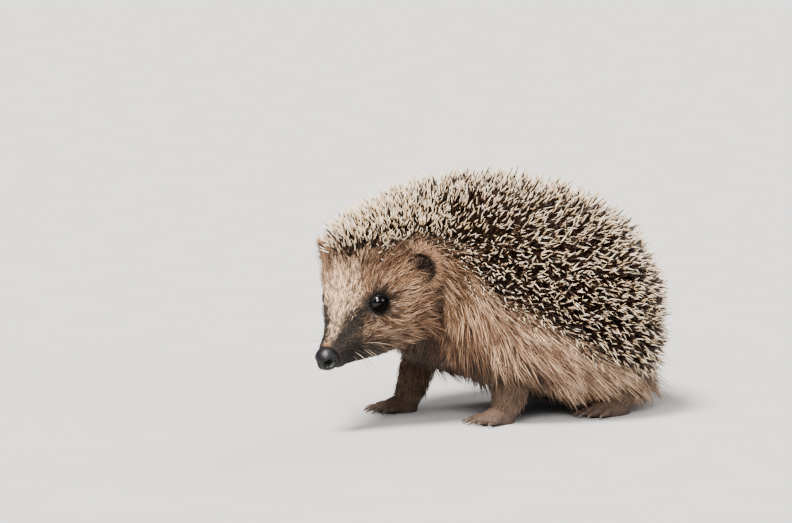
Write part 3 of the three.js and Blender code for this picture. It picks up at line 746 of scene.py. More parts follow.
class Wiring:
    """Adds nodes to one material and joins them to its surface."""

    def __init__(self, name: str, **sockets: float | tuple) -> None:
        """Makes a material whose surface has these constants on its own sockets."""
        self.material = bpy.data.materials.new(name)
        self.material.use_nodes = True
        self.tree = self.material.node_tree
        self.surface = self.tree.nodes["Principled BSDF"]
        for key, value in sockets.items():
            self.surface.inputs[key.replace("_", " ")].default_value = value

    def node(self, kind: str, inputs: dict[str | int, object] | None = None,
             **settings: object) -> bpy.types.Node:
        """One node; an input that is a socket is linked, and any other value is set."""
        node = self.tree.nodes.new(kind)
        for key, value in settings.items():
            setattr(node, key, value)
        for key, value in (inputs or {}).items():
            if isinstance(value, Socket):
                self.tree.links.new(value, node.inputs[key])
            else:
                node.inputs[key].default_value = value
        return node

    def attribute(self, name: str, output: str = "Fac") -> Socket:
        """A value that the mesh carries."""
        return self.node("ShaderNodeAttribute", attribute_name=name).outputs[output]

    def maths(self, operation: str, a: object, b: object = 0.0, c: object = 0.0) -> Socket:
        """One sum, product or other step of arithmetic."""
        return self.node("ShaderNodeMath", {0: a, 1: b, 2: c}, operation=operation).outputs[0]

    def place(self) -> Socket:
        """The place on the object, in metres."""
        return self.node("ShaderNodeTexCoord").outputs["Object"]

    def noise(self, scale: float, detail: float = 3.0) -> Socket:
        """Noise over the object's own place, in waves to a metre."""
        inputs = {"Vector": self.place(), "Scale": scale, "Detail": detail}
        return self.node("ShaderNodeTexNoise", inputs).outputs["Fac"]

    def ramp(self, value: Socket, stops: list[tuple[float, Array]]) -> Socket:
        """A colour that follows a value through a few stops."""
        node = self.node("ShaderNodeValToRGB", {"Fac": value})
        elements = node.color_ramp.elements
        elements[0].position, elements[1].position = stops[0][0], stops[-1][0]
        for place, _ in stops[1:-1]:
            elements.new(place)
        for element, (_, colour) in zip(elements, stops):
            element.color = (*colour, 1.0)
        return node.outputs["Color"]

    def blend(self, kind: str, share: object, a: object, b: object) -> Socket:
        """Two colours mixed, multiplied or otherwise put together."""
        inputs = {"Factor": share, 6: a, 7: b}
        return self.node("ShaderNodeMix", inputs, data_type="RGBA", blend_type=kind).outputs[2]

    def colour(self, socket: Socket) -> None:
        """Links the base colour."""
        self.tree.links.new(socket, self.surface.inputs["Base Color"])

    def rough(self, socket: Socket) -> None:
        """Links the roughness."""
        self.tree.links.new(socket, self.surface.inputs["Roughness"])

    def relief(self, height: Socket, strength: float, distance: float) -> None:
        """Links a bump, with its height in metres."""
        bumped = self.node("ShaderNodeBump", {"Height": height, "Strength": strength, "Distance": distance})
        self.tree.links.new(bumped.outputs["Normal"], self.surface.inputs["Normal"])


def grey(level: float) -> Array:
    """A neutral multiplier as a colour."""
    return np.full(3, level)


@dataclass(frozen=True)
class FurFinish:
    """Hair: the coat's colour, darkened towards the root as painted shade deep in the fur, paler at the tip,
    and uneven from hair to hair.
    """

    name: str
    root: float = 0.4            # brightness at the root: painted shade deep in the fur
    tip: float = 1.3             # brightness at the tip
    spread: float = 0.4          # how far hairs differ in brightness
    roughness: float = 0.5

    def material(self) -> Material:
        """The finished material."""
        wiring = Wiring(self.name, Roughness=self.roughness, Specular_IOR_Level=0.3, Sheen_Weight=0.04,
                        Sheen_Roughness=0.4)
        # painted shade: each hair darkens towards its root
        along = wiring.ramp(wiring.attribute("reach"), [
            (0.0, grey(self.root)), (0.55, grey(1.0)), (1.0, grey(self.tip)),
        ])
        hair = wiring.ramp(wiring.attribute("chance"), [
            (0.0, grey(1 - self.spread)), (0.5, grey(1.0)), (1.0, grey(1 + self.spread)),
        ])
        shade = wiring.blend("MULTIPLY", 1.0, along, hair)
        patch = wiring.ramp(wiring.noise(260.0), [(0.25, grey(0.86)), (0.75, grey(1.12))])
        colour = wiring.blend("MULTIPLY", 1.0, wiring.attribute("coat", "Color"), shade)
        wiring.colour(wiring.blend("MULTIPLY", 1.0, colour, patch))
        return wiring.material


@dataclass(frozen=True)
class SpineFinish:
    """A spine: pale at the root, a brown-black band, then a long cream point."""

    name: str
    point: Array = field(default_factory=lambda: linear(252, 240, 218))
    band: Array = field(default_factory=lambda: linear(44, 31, 25))
    root: Array = field(default_factory=lambda: linear(168, 140, 112))

    def material(self) -> Material:
        """The finished material."""
        wiring = Wiring(self.name, Roughness=0.34, Specular_IOR_Level=0.5)
        brown, straw = linear(72, 54, 43), linear(222, 200, 172)
        reach = wiring.maths("ADD", wiring.attribute("reach"), wiring.attribute("band"))
        bands = wiring.ramp(reach, [
            (0.0, self.root), (0.16, self.root), (0.24, self.band), (0.68, self.band), (0.725, brown),
            (0.755, straw), (0.85, self.point), (1.0, self.point),
        ])
        tint = wiring.ramp(wiring.attribute("chance"), [
            (0.0, linear(214, 188, 156)), (0.4, linear(246, 234, 216)), (1.0, linear(255, 255, 252)),
        ])
        fleck = wiring.ramp(wiring.noise(900.0), [(0.3, grey(0.88)), (0.7, grey(1.08))])
        wiring.colour(wiring.blend("MULTIPLY", 1.0, wiring.blend("MULTIPLY", 1.0, bands, tint), fleck))
        wiring.rough(wiring.maths("MULTIPLY_ADD", wiring.noise(700.0), 0.25, 0.24))
        return wiring.material


@dataclass(frozen=True)
class HideFinish:
    """Skin under the coat: the coat's markings, with short flat fur as a fine bump."""

    name: str

    def material(self) -> Material:
        """The finished material."""
        wiring = Wiring(self.name, Roughness=0.72, Specular_IOR_Level=0.3)
        nap = wiring.noise(1500.0, 4.0)
        mottle = wiring.ramp(nap, [(0.3, grey(0.55)), (0.72, grey(1.15))])
        wiring.colour(wiring.blend("MULTIPLY", 1.0, wiring.attribute("coat", "Color"), mottle))
        wiring.relief(nap, 0.6, 0.0005)
        return wiring.material


@dataclass(frozen=True)
class NoseFinish:
    """The nose pad: moist black skin with fine pebbles, greyer on top as a painted highlight and darkest in
    the nostrils as painted shade.
    """

    name: str

    def material(self) -> Material:
        """The finished material."""
        wiring = Wiring(self.name, Roughness=0.3, Specular_IOR_Level=0.35)
        inputs = {"Vector": wiring.place(), "Scale": 2600.0}
        pebbles = wiring.node("ShaderNodeTexVoronoi", inputs, feature="SMOOTH_F1").outputs["Distance"]
        # painted highlight greys the top of the pad, and painted shade keeps the nostrils darkest
        wiring.colour(wiring.ramp(wiring.attribute("top"), [
            (0.0, linear(6, 5, 5)), (0.45, linear(8, 7, 8)), (1.0, linear(24, 22, 27)),
        ]))
        wiring.rough(wiring.maths("MULTIPLY_ADD", wiring.noise(800.0), 0.35, 0.22))
        wiring.relief(pebbles, 0.3, 0.00025)
        return wiring.material


@dataclass(frozen=True)
class EyeFinish:
    """The eyeball: wet and nearly black, with a dark brown iris round the pupil."""

    name: str

    def material(self) -> Material:
        """The finished material."""
        wiring = Wiring(self.name, Roughness=0.07, Specular_IOR_Level=0.22)
        wiring.colour(wiring.ramp(wiring.attribute("reach"), [
            (0.0, linear(3, 3, 3)), (0.26, linear(3, 3, 3)), (0.34, linear(13, 8, 6)),
            (0.62, linear(8, 6, 5)), (1.0, linear(12, 11, 12)),
        ]))
        wet = wiring.maths("MULTIPLY_ADD", wiring.attribute("height"), 0.36, 0.03)
        wiring.tree.links.new(wet, wiring.surface.inputs["Specular IOR Level"])
        return wiring.material


@dataclass(frozen=True)
class PlainFinish:
    """A small hard or moist part in one colour, uneven by noise, with a fine relief."""

    name: str
    base: Array
    other: Array
    roughness: float
    grain: float = 1200.0
    depth: float = 0.0002
    shine: float = 0.5

    def material(self) -> Material:
        """The finished material."""
        wiring = Wiring(self.name, Roughness=self.roughness, Specular_IOR_Level=self.shine)
        grain = wiring.noise(self.grain, 4.0)
        wiring.colour(wiring.ramp(grain, [(0.3, self.base), (0.7, self.other)]))
        wiring.relief(grain, 0.4, self.depth)
        return wiring.material


# ---- roots and tufts


@dataclass(frozen=True)
class Window:
    """A stretch of the body, from one place along it to another and from one angle to another."""

    along: tuple[float, float]
    angle: tuple[float, float]   # degrees


CELLS = 200                      # cells of a window along the body, and round it
STRAY = 0.32                     # how far roots leave an even spread, as a share of their distance
PATCH = 0.003                    # width of one tuft in the bake map


@dataclass(frozen=True)
class Roots:
    """Where the pieces of a coat grow: places on the skin, their bake map places, and their luck."""

    place: Place
    uv: Array
    chance: Array

    @classmethod
    def strewn(cls, window: Window, count: int, density: Field, seed: int) -> "Roots":
        """Spreads roots evenly over the skin, by its area times a density.

        The window is cut into cells, each weighing its area times the density. Evenly spread points
        in the unit square are carried onto the cells by the sums of their weights, first along and
        then round the body, so the unit square is an unwrap of the skin itself.

        Args:
            window: the stretch of body that is covered.
            count: how many roots.
            density: how thick the coat is, from places along and angles round.
            seed: makes the spread repeatable.

        Returns:
            The roots.
        """
        rng = np.random.default_rng(seed)
        edges_a = np.linspace(*window.along, CELLS + 1)
        edges_t = np.radians(np.linspace(*window.angle, CELLS + 1))
        middles = [(edges[1:] + edges[:-1]) / 2 for edges in (edges_a, edges_t)]
        a, t = np.meshgrid(*middles, indexing="ij")
        da = BODY.point(a + STEP, t) - BODY.point(a - STEP, t)
        dt = BODY.point(a, t + STEP) - BODY.point(a, t - STEP)
        weight = np.linalg.norm(np.cross(da, dt), axis=-1) * np.maximum(density(a, t), 0) + 1e-9
        x, y = even_points(count, STRAY / math.sqrt(count), rng)
        rows = weight.sum(axis=1)
        along = np.interp(x, np.concatenate([[0], np.cumsum(rows)]) / rows.sum(), edges_a)
        i = np.clip(np.searchsorted(edges_a, along) - 1, 0, CELLS - 1)
        sums = np.cumsum(weight, axis=1) / rows[:, None]
        j = (sums[i] < y[:, None]).sum(axis=1).clip(0, CELLS - 1)
        high = sums[i, j]
        low = np.where(j > 0, sums[i, j - 1], 0)
        angle = edges_t[j] + (y - low) / np.maximum(high - low, 1e-12) * (edges_t[1] - edges_t[0])
        return cls(BODY.place(along, angle), np.stack([x, y], axis=1), rng.uniform(size=count))


@dataclass(frozen=True)
class Shape:
    """The shape that every tuft or spine of one coat shares: its rings and how it tapers."""

    sides: int
    at: tuple[float, ...]        # places of the rings, 0 at the root; the tip at 1 is added
    girth: tuple[float, ...]     # half width at each ring, as a share of the widest
    flat: float = 0.5            # thickness as a share of the width


HAIR = Shape(3, (0.0, 0.3, 0.68), (0.75, 1.0, 0.62))
LONG_HAIR = Shape(3, (0.0, 0.2, 0.45, 0.75), (0.7, 1.0, 0.85, 0.5))
STUBBLE = Shape(3, (0.0, 0.5), (0.9, 0.85))
QUILL = Shape(4, (0.0, 0.4, 0.66, 0.84), (0.85, 1.0, 0.92, 0.52), 1.0)


def grown(shape: Shape, root: Array, out: Array, first: Array, last: Array,
          length: Array, width: Array, uv: Array, values: dict[str, Array]) -> Surface:
    """Tufts or spines as one surface. A middle line starts one way and ends another, so that it is
    root + length (t first + t^2 (last - first) / 2), and rings of the shape's girth stand across it.

    Args:
        shape: rings and taper, the same for all.
        root: where each starts.
        out: the way outward at each root, which the flat side faces.
        first: the way each starts.
        last: the way each ends.
        length: length of each.
        width: greatest width of each.
        uv: the place of each root in the bake map.
        values: what each carries, one row a tuft.

    Returns:
        One surface, with a bake map of small patches and a reach from 0 at the root to 1 at the tip.
    """
    count, sides, rings = len(root), shape.sides, len(shape.at)
    t = np.array([*shape.at, 1.0])
    line = root[:, None] + length[:, None, None] * (
        t[None, :, None] * first[:, None] + (t ** 2 / 2)[None, :, None] * (last - first)[:, None])
    way = unit(first[:, None] + t[None, :rings, None] * (last - first)[:, None])
    across = unit(np.cross(way, out[:, None]))
    other = np.cross(way, across)
    u = 2 * math.pi * np.arange(sides) / sides - math.pi / 2
    half = width[:, None, None, None] / 2 * np.array(shape.girth)[None, :, None, None]
    ring = line[:, :rings, None] + half * (
        np.cos(u)[None, None, :, None] * across[:, :, None]
        + shape.flat * np.sin(u)[None, None, :, None] * other[:, :, None])
    points = np.concatenate([ring.reshape(count, -1, 3), line[:, rings:]], axis=1)
    size = rings * sides + 1
    starts = (np.arange(count) * size)[:, None, None]
    quads = (starts + lattice(rings, sides)[None]).reshape(-1, 4)
    tips = (starts + fan((rings - 1) * sides, rings * sides, sides, turned=True)[None]).reshape(-1, 3)
    base = (starts[:, :, 0] + np.arange(sides)[None]).reshape(count, sides)[:, ::-1]
    s = np.arange(sides) / sides - 0.5
    e = s + 1 / sides
    v = t - 0.5
    square = np.array([[(s[j], v[i]), (e[j], v[i]), (e[j], v[i + 1]), (s[j], v[i + 1])]
                       for i in range(rings - 1) for j in range(sides)])
    top = np.array([[(s[j], v[rings - 1]), (e[j], v[rings - 1]), ((s[j] + e[j]) / 2, v[rings])]
                    for j in range(sides)])[:, [0, 2, 1]][:, ::-1]
    under = np.array([(0.1 * math.cos(k), -0.5 + 0.05 * math.sin(k)) for k in u])[None, ::-1]
    corners = [(uv[:, None, None] + PATCH * c[None]).reshape(-1, c.shape[1], 2)
               for c in (square, top, under)]
    carried = {key: np.repeat(value, size, axis=0) for key, value in values.items()}
    carried["reach"] = np.tile(np.concatenate([np.repeat(t[:rings], sides), [1.0]]), count)
    return Surface(points.reshape(-1, 3), [quads, tips, base], corners, carried)


# ---- the coat

FLOOR_CLEAR = 1.0                # no hair or spine of the body reaches nearer to the floor than this
DOWNWARDS = np.array([0.0, 0.0, -1.0])
FACE_FROM = 8.5                  # hair that starts further along than this has the face's finish
NECK_END = 9                     # and further than this, the face's slot

LEAN_SPREAD = 24                 # degrees that spines differ in lean, and how far from the mean at most
LEAN_LIMITS = (-40, 48)
CROSSING = (42, 32)              # degrees that spines swing to one side or the other: mean and spread

LIFT_LIMITS = (2, 85)            # degrees off the skin between which all hair starts
EYE_CLEAR = 4.55                 # hair that points at an eye ends this far from its middle
LEAST_HAIR = 0.8                 # but isn't cut shorter than this
HOLLOW_AT = (0.6, 1.4)           # the ear's open hollow: how far forward of its seat, and above it
HOLLOW_RADIUS = 3.3
HOLLOW_REACH = 15                # hair that starts further away than this doesn't reach the hollow

MOUTH_FRONT = 7.6                # lengths behind the nose tip, and drops below the head's axis
MOUTH_CORNER = 24.0
MOUTH_DROP = (4.7, 6.6)


def over_floor(length: Array, root: Array, way: Array, clear: float) -> Array:
    """Lengths cut so that what starts at the roots and goes these ways ends clear of the floor."""
    return np.minimum(length, (root[:, 2] - clear) / np.maximum(-way[:, 2], 0.05))


def relief(p: Place) -> Array:
    """How far the skin rises or sinks on the head: eye sockets, brows, mouth and lower jaw."""
    d, s, h = head_place(p.point)
    head = smooth(p.along, 9.0, 10.5)
    eye = distance_to(EYE_SEATS, p.point)
    rise = -2.8 * smooth(eye, 3.9, 3.1) + 0.3 * bump(eye, 5.6, 0.9)
    line = h + np.interp(d, [MOUTH_FRONT, MOUTH_CORNER], MOUTH_DROP)
    mouth = smooth(d, MOUTH_CORNER + 1.5, MOUTH_CORNER - 1.0) * smooth(d, 5.8, 7.2) * head
    rise = rise - 0.75 * bump(line, 0.0, 0.32) * mouth + 0.2 * bump(line, 1.0, 0.5) * mouth
    rise = rise - 0.55 * smooth(-line, 0.1, 1.0) * mouth * smooth(d, 22, 12)
    cleft = bump(s, 0, 0.5) * smooth(d, 12, 7) * smooth(line, -0.5, 0.5) * smooth(h, 1.0, -2.0)
    return (rise - 0.5 * cleft * smooth(d, 5.6, 6.6)) * head


@dataclass(frozen=True)
class Spines:
    """One stretch of the spiny coat."""

    name: str
    window: Window
    count: int
    seed: int
    length: float = 15.0
    thickness: float = 0.74
    sunk: float = 0.6
    edge: float = 4.0            # degrees past the edge of the spiny field that a few spines reach
    tips: float = -0.02          # how much longer the cream points are here

    def density(self, along: Array, angle: Array) -> Array:
        """Spines grow down to the edge of their field, and are closer set on the crown."""
        spines_to = BODY.spines_to(along)
        within = smooth(spines_to - from_ridge(angle), -self.edge, self.edge) * (spines_to > LEAST_FIELD)
        ear = distance_to(EAR_SEATS, BODY.point(along, angle))
        return within * (1 + 0.6 * smooth(along, 8.0, 10.0)) * smooth(ear, 6.5, 8.5)

    def way(self, p: Place, rng: np.random.Generator) -> Array:
        """The way of each spine: it leans back on the trunk and forward on the brow, swings to one
        side so that it crosses its neighbours, and turns up from the sides of the head.

        Args:
            p: where the spines grow.
            rng: draws how each differs.

        Returns:
            Unit vectors.
        """
        n = len(p.along)
        head = smooth(p.along, 8.0, 9.6)
        upright = 0.42 * (1 - head) * smooth(p.ridge, 18, 55)
        ahead = np.interp(p.along, [8.4, 10.0, 11.0, 12.0], [-6, 2, 14, 36])
        lean = (p.lean * (1 - head) + ahead * head) * (1 - upright)
        lean = lean + rng.normal(0, LEAN_SPREAD, n).clip(*LEAN_LIMITS)
        lean = (lean + 14 * wander(p.along, p.angle, 2.4, self.seed)) * RAD
        crossed = rng.choice([-1.0, 1.0], n) * rng.normal(*CROSSING, n)
        swing = (crossed + 14 * wander(p.along, p.angle, 3.1, self.seed + 7)) * RAD
        sideways = np.sin(np.maximum(np.abs(lean), 30 * RAD)) * np.sin(swing)
        sideways += 0.2 * np.sin(p.ridge * RAD) ** 2 * (1 - head) - 0.8 * head * smooth(p.ridge, 18, 55)
        return unit(np.cos(lean)[:, None] * p.out + (np.sin(lean) * np.cos(swing))[:, None] * p.back
                    + sideways[:, None] * p.down)

    def lengths(self, p: Place, way: Array, rng: np.random.Generator) -> Array:
        """Uneven lengths: less at the edge of the field, on flank, rump and nape, and over the floor."""
        length = self.length * uneven(rng, len(way), 0.11, 0.7, 1.25)
        trunk = 1 - smooth(p.along, 8.0, 9.6)
        length *= self.full(p, 0.66) * (1 - 0.16 * np.sin(p.ridge * RAD) ** 2 * trunk)
        length *= 1 - 0.28 * smooth(p.along, 3.6, 1.5)
        length *= 1 - 0.18 * bump(p.along, 9.4, 1.7) + 0.16 * smooth(p.along, 11.0, 12.2)
        return over_floor(length, p.point, way, FLOOR_CLEAR)

    def full(self, p: Place, least: float) -> Array:
        """A share from the least at the edge of the spiny field to 1 within it."""
        return least + (1 - least) * smooth(p.spines_to - p.ridge, -4, 14)

    def build(self, finish: Material) -> Piece:
        """Grows the spines, each with its own size, bend and band."""
        roots = Roots.strewn(self.window, self.count, self.density, self.seed)
        p = roots.place
        rng = np.random.default_rng(self.seed + 1)
        n = len(p.along)
        way = self.way(p, rng)
        bend = unit(way + 0.09 * rng.normal(size=(n, 3)))
        length = self.lengths(p, way, rng)
        thickness = self.thickness * uneven(rng, n, 0.14, 0.65, 1.35) * self.full(p, 0.78)
        band = self.tips + 0.05 * rng.normal(size=n) + 0.03 * smooth(p.along, 10.6, 12.0)
        values = {"band": band, "chance": roots.chance}
        root = p.point - self.sunk * way
        surface = grown(QUILL, root, p.out, way, bend, length, thickness, roots.uv, values)
        return surface.piece(self.name, finish, Slot.COAT)


@dataclass(frozen=True)
class Lie:
    """How hair lies at each root: sizes and directions, one row each."""

    length: Array
    width: Array
    lift: Array                  # degrees off the skin at the root
    fall: Array                  # share of the way down the body, against the way back
    sag: Array                   # how far the tip turns to the floor

    @classmethod
    def over(cls, p: Place, *sizes: float | Array) -> "Lie":
        """The lie over some places; a size may be one number for all of them."""
        return cls(*(np.broadcast_to(np.asarray(size, dtype=float), p.along.shape) for size in sizes))


@dataclass(frozen=True)
class Hair:
    """One stretch of the hairy coat."""

    name: str
    window: Window
    count: int
    seed: int
    shape: Shape
    density: Field
    lie: Callable[[Place], Lie]
    tone: float = 1.0            # brightness against the markings
    pale: float = 0.0            # how pale its luckiest hairs are
    clump: float = 0.35          # how far the tips of near hairs draw together
    clumps: int = 260
    stray: float = 9.0           # degrees that single hairs stray
    blur: float = 0.0            # how far the markings run into each other, in places along the body

    def crosses_ear(self, p: Place, way: Array) -> Array:
        """Which hairs would run over the hollow in the upper front of an ear's cup."""
        found = np.zeros(len(way), dtype=bool)
        for seat in EAR_SEATS.values():
            to = seat.point + HOLLOW_AT[0] * seat.fore + HOLLOW_AT[1] * seat.up - p.point
            ahead = dot(to, way)
            beside = np.linalg.norm(to - ahead[:, None] * way, axis=1)
            found |= (beside < HOLLOW_RADIUS) & (ahead > 0) & (ahead < HOLLOW_REACH)
        return found

    def off_eye(self, p: Place) -> tuple[Array, Array]:
        """Distance from the eye on the same side, and the way from it along the skin."""
        eye = np.where((p.side > 0)[:, None], EYE_SEATS[Side.LEFT].point, EYE_SEATS[Side.RIGHT].point)
        off = p.point - eye
        return np.linalg.norm(off, axis=1), unit(off - dot(off, p.out)[:, None] * p.out)

    def combed(self, p: Place, lie: Lie, rng: np.random.Generator) -> tuple[Array, Array]:
        """The ways in which each hair starts and ends: along the lie, round the eyes, a little astray.

        Args:
            p: where the hair grows.
            lie: how it lies there.
            rng: draws how each hair strays.

        Returns:
            Two arrays of unit vectors.
        """
        n = len(p.along)
        turn = (rng.normal(0, self.stray, n) + 12 * wander(p.along, p.angle, 3.0, self.seed)) * RAD
        lift = lie.lift + rng.normal(0, self.stray * 0.6, n)
        lift = lift + 5 * wander(p.along, p.angle, 4.0, self.seed + 5)
        lift = np.clip(lift, *LIFT_LIMITS) * RAD
        gap, away = self.off_eye(p)
        flow = unit(p.back + lie.fall[:, None] * p.down)
        flow = unit(flow + (1.1 * smooth(gap, 10.0, 5.0))[:, None] * away)
        flow = np.cos(turn)[:, None] * flow + np.sin(turn)[:, None] * np.cross(p.out, flow)
        first = unit(np.cos(lift)[:, None] * flow + np.sin(lift)[:, None] * p.out)
        last = unit(flow + (0.45 * np.sin(lift))[:, None] * p.out + lie.sag[:, None] * DOWNWARDS
                    + 0.12 * rng.normal(size=(n, 3)))
        return first, last

    def cut(self, p: Place, length: Array, first: Array, last: Array) -> Array:
        """Lengths that leave the eyes and the hollows of the ears free."""
        gap, away = self.off_eye(p)
        room = np.maximum(gap - EYE_CLEAR, LEAST_HAIR)
        length = np.where(dot(first, away) < 0.2, np.minimum(length, room), length)
        return np.where(self.crosses_ear(p, (first + last) / 2), length * 0.3, length)

    def tint(self, p: Place, luck: Array, rng: np.random.Generator) -> Array:
        """Each hair's colour: the coat's near its root, mixed with pale or darkened by its luck."""
        off = self.blur * rng.normal(size=(2, len(luck)))
        coat = MARKINGS.colour(BODY.place(p.along + off[0], p.angle + 0.3 * off[1]))
        lit = self.pale * smooth(luck, 0.3, 1.0) * (0.04 + 0.96 * smooth(coat.mean(axis=1), 0.0, 0.2))
        return mix(coat * self.tone, PALE, lit) * (0.2 + 0.8 * smooth(luck, 0, 0.65))[:, None]

    def build(self, finish: Material) -> Piece:
        """Grows the hair, draws the tips of near hairs into locks, and keeps it clear of the floor."""
        roots = Roots.strewn(self.window, self.count, self.density, self.seed)
        p = roots.place
        rng = np.random.default_rng(self.seed + 1)
        n = len(p.along)
        lie = self.lie(p)
        first, last = self.combed(p, lie, rng)
        length = self.cut(p, lie.length * uneven(rng, n, 0.18, 0.5, 1.5), first, last)
        tuft = np.full(n, 0.5)
        if self.clump > 0:
            centre = rng.choice(n, min(self.clumps, n), replace=False)
            middle = p.point[centre]
            near = np.argmin((middle ** 2).sum(axis=1)[None] - 2 * p.point @ middle.T, axis=1)
            tuft = rng.uniform(size=len(centre))[near]
            tip = p.point + length[:, None] * (first + last) / 2
            tip = mix(tip, tip[centre][near], np.full(n, self.clump))
            last = 2 * (tip - p.point) / length[:, None] - first
        length = over_floor(length, p.point, (first + last) / 2, FLOOR_CLEAR).clip(0.6)
        coat = self.tint(p, np.clip(0.6 * roots.chance + 0.62 * tuft - 0.11, 0, 1), rng)
        values = {"coat": coat, "chance": rng.uniform(size=n)}
        root = p.point + relief(p)[:, None] * p.out - 0.4 * first
        surface = grown(self.shape, root, p.out, first, last, length, lie.width, roots.uv, values)
        return surface.piece(self.name, finish, Slot.FACE if self.window.along[0] > NECK_END else Slot.COAT)


class Coat:
    """How the hair grows over the whole body: its lie and density, region by region."""

    def bare(self, along: Array, angle: Array) -> Array:
        """0 on the eyes, in the cups of the ears and on the spiny field, 1 elsewhere."""
        point = BODY.point(along, angle)
        spines_to = BODY.spines_to(along)
        hairy = np.where(spines_to > LEAST_FIELD, smooth(spines_to - from_ridge(angle), 9, 2), 1.0)
        return hairy * smooth(distance_to(EYE_SEATS, point), 3.8, 4.3) * smooth(
            distance_to(EAR_SEATS, point), 3.0, 6.0)

    def brow_density(self, along: Array, angle: Array) -> Array:
        """The top of the face, closer set towards the nose."""
        top = smooth(from_ridge(angle), 96, 80)
        return self.bare(along, angle) * top * (1 + 1.6 * smooth(along, 13.0, 16.5))

    def cheek_density(self, along: Array, angle: Array) -> Array:
        """The side of the face and of the neck, down to the throat."""
        beside = np.maximum(smooth(from_ridge(angle), 70, 88), smooth(along, 12.6, 11.6))
        return self.bare(along, angle) * beside * (1 + 1.2 * smooth(along, 12.5, 16.0))

    def strand_density(self, along: Array, angle: Array) -> Array:
        """Longer pale hair on the brow and behind and below the eye."""
        ridge = from_ridge(angle)
        return self.bare(along, angle) * smooth(along, 15.2, 13.6) * smooth(ridge, 150, 125)

    def ear_density(self, along: Array, angle: Array) -> Array:
        """A ring of hair round each ear, most of it in front."""
        point = BODY.point(along, angle)
        d, _, _ = head_place(point)
        return bump(distance_to(EAR_SEATS, point), 6.6, 1.6) * (0.35 + smooth(d, 49.0, 43.0))

    def ruff_density(self, along: Array, angle: Array) -> Array:
        """Hair behind the cheek that falls over the neck."""
        ridge = from_ridge(angle)
        return self.bare(along, angle) * smooth(ridge, 52, 66) * smooth(ridge, 150, 125)

    def flank_density(self, along: Array, angle: Array) -> Array:
        """The long hair from the edge of the spines down to the belly."""
        ridge = from_ridge(angle)
        below = smooth(ridge - BODY.spines_to(along), -9, 0)
        ear = smooth(distance_to(EAR_SEATS, BODY.point(along, angle)), 5.0, 8.0)
        rear = 1 + 0.5 * smooth(along, 3.4, 1.8)
        return below * smooth(ridge, 172, 150) * ear * (0.55 + 0.45 * smooth(ridge, 150, 110)) * rear

    def belly_density(self, along: Array, angle: Array) -> Array:
        """The underside."""
        return smooth(from_ridge(angle), 140, 155) + 0 * along

    def head_fall(self, p: Place) -> Array:
        """Hair on the head sweeps straight back, and turns down the neck behind the ears."""
        d, _, _ = head_place(p.point)
        sides = 0.12 * smooth(p.ridge, 20, 50) * smooth(p.ridge, 75, 60)
        jaw = 0.4 * smooth(p.ridge, 95, 130)
        return 0.02 + sides + jaw + 0.75 * smooth(d, 37, 52) * smooth(p.ridge, 45, 85)

    def face_lie(self, p: Place) -> Lie:
        """Short close hair, finest on the muzzle."""
        d, _, _ = head_place(p.point)
        near = smooth(d, 30, 38) * smooth(p.ridge - p.spines_to, 24, 4)
        length = (0.8 + 1.55 * p.hair) * (1 + 0.35 * near)
        lift = 20 + 18 * smooth(p.ridge, 60, 20) * smooth(d, 8, 24) + 16 * near
        return Lie.over(p, length, 0.28 + 0.06 * p.hair, lift, self.head_fall(p),
                        0.25 * smooth(d, 30, 50) * smooth(p.ridge, 60, 100))

    def strand_lie(self, p: Place) -> Lie:
        """Longer, looser hair over the close hair of the head."""
        d, _, _ = head_place(p.point)
        near = smooth(d, 28, 37) * smooth(p.ridge - p.spines_to, 26, 4)
        length = 5.4 + 5.4 * smooth(d, 20, 42) * (0.5 + 0.5 * smooth(p.ridge, 40, 80)) + 2.5 * near
        lift = 27 + 22 * smooth(p.ridge, 60, 20) + 8 * near
        return Lie.over(p, length, 0.3 + 0.1 * smooth(d, 24, 44), lift, self.head_fall(p),
                        0.2 * smooth(d, 34, 50) * smooth(p.ridge, 60, 100))

    def ear_lie(self, p: Place) -> Lie:
        """Hair in a ring round the ears, longer and more upright at the right one."""
        right = p.side < 0
        return Lie.over(p, np.where(right, 8.5, 5.4), 0.3, np.where(right, 60.0, 36.0), 0.1, 0.1)

    def ruff_lie(self, p: Place) -> Lie:
        """Long hair that stands off the rear of the head and falls over the neck."""
        return Lie.over(p, 11.0, 0.42, 27, 0.3 + 0.5 * smooth(p.ridge, 60, 100), 0.25)

    def bristle_lie(self, p: Place) -> Lie:
        """Single long hairs that stand out over the brow."""
        return Lie.over(p, 13.0, 0.2, 58, 0, 0)

    def bristle_density(self, along: Array, angle: Array) -> Array:
        """On the brow and among the foremost spines."""
        eye = distance_to(EYE_SEATS, BODY.point(along, angle))
        return smooth(from_ridge(angle), 75, 50) * smooth(eye, 6, 9)

    def flank_fall(self, p: Place) -> Array:
        """The long hair runs back along the flank and steeper down the shoulder and neck."""
        return 0.36 + 0.2 * smooth(p.along, 3, 6) + 0.55 * smooth(p.along, 6, 8.6)

    def under_lie(self, p: Place) -> Lie:
        """The lower, darker layer of long hair."""
        length = np.interp(p.along, [0, 1, 4, 7, 9, 10.5], [10, 12, 14, 13, 10, 7.0])
        length = length * (1 - 0.35 * smooth(p.ridge, 128, 160))
        return Lie.over(p, length, 0.5, 15 + 8 * smooth(p.ridge - p.spines_to, 12, -4),
                        self.flank_fall(p), 0.2 + 0.4 * smooth(p.ridge, 115, 145))

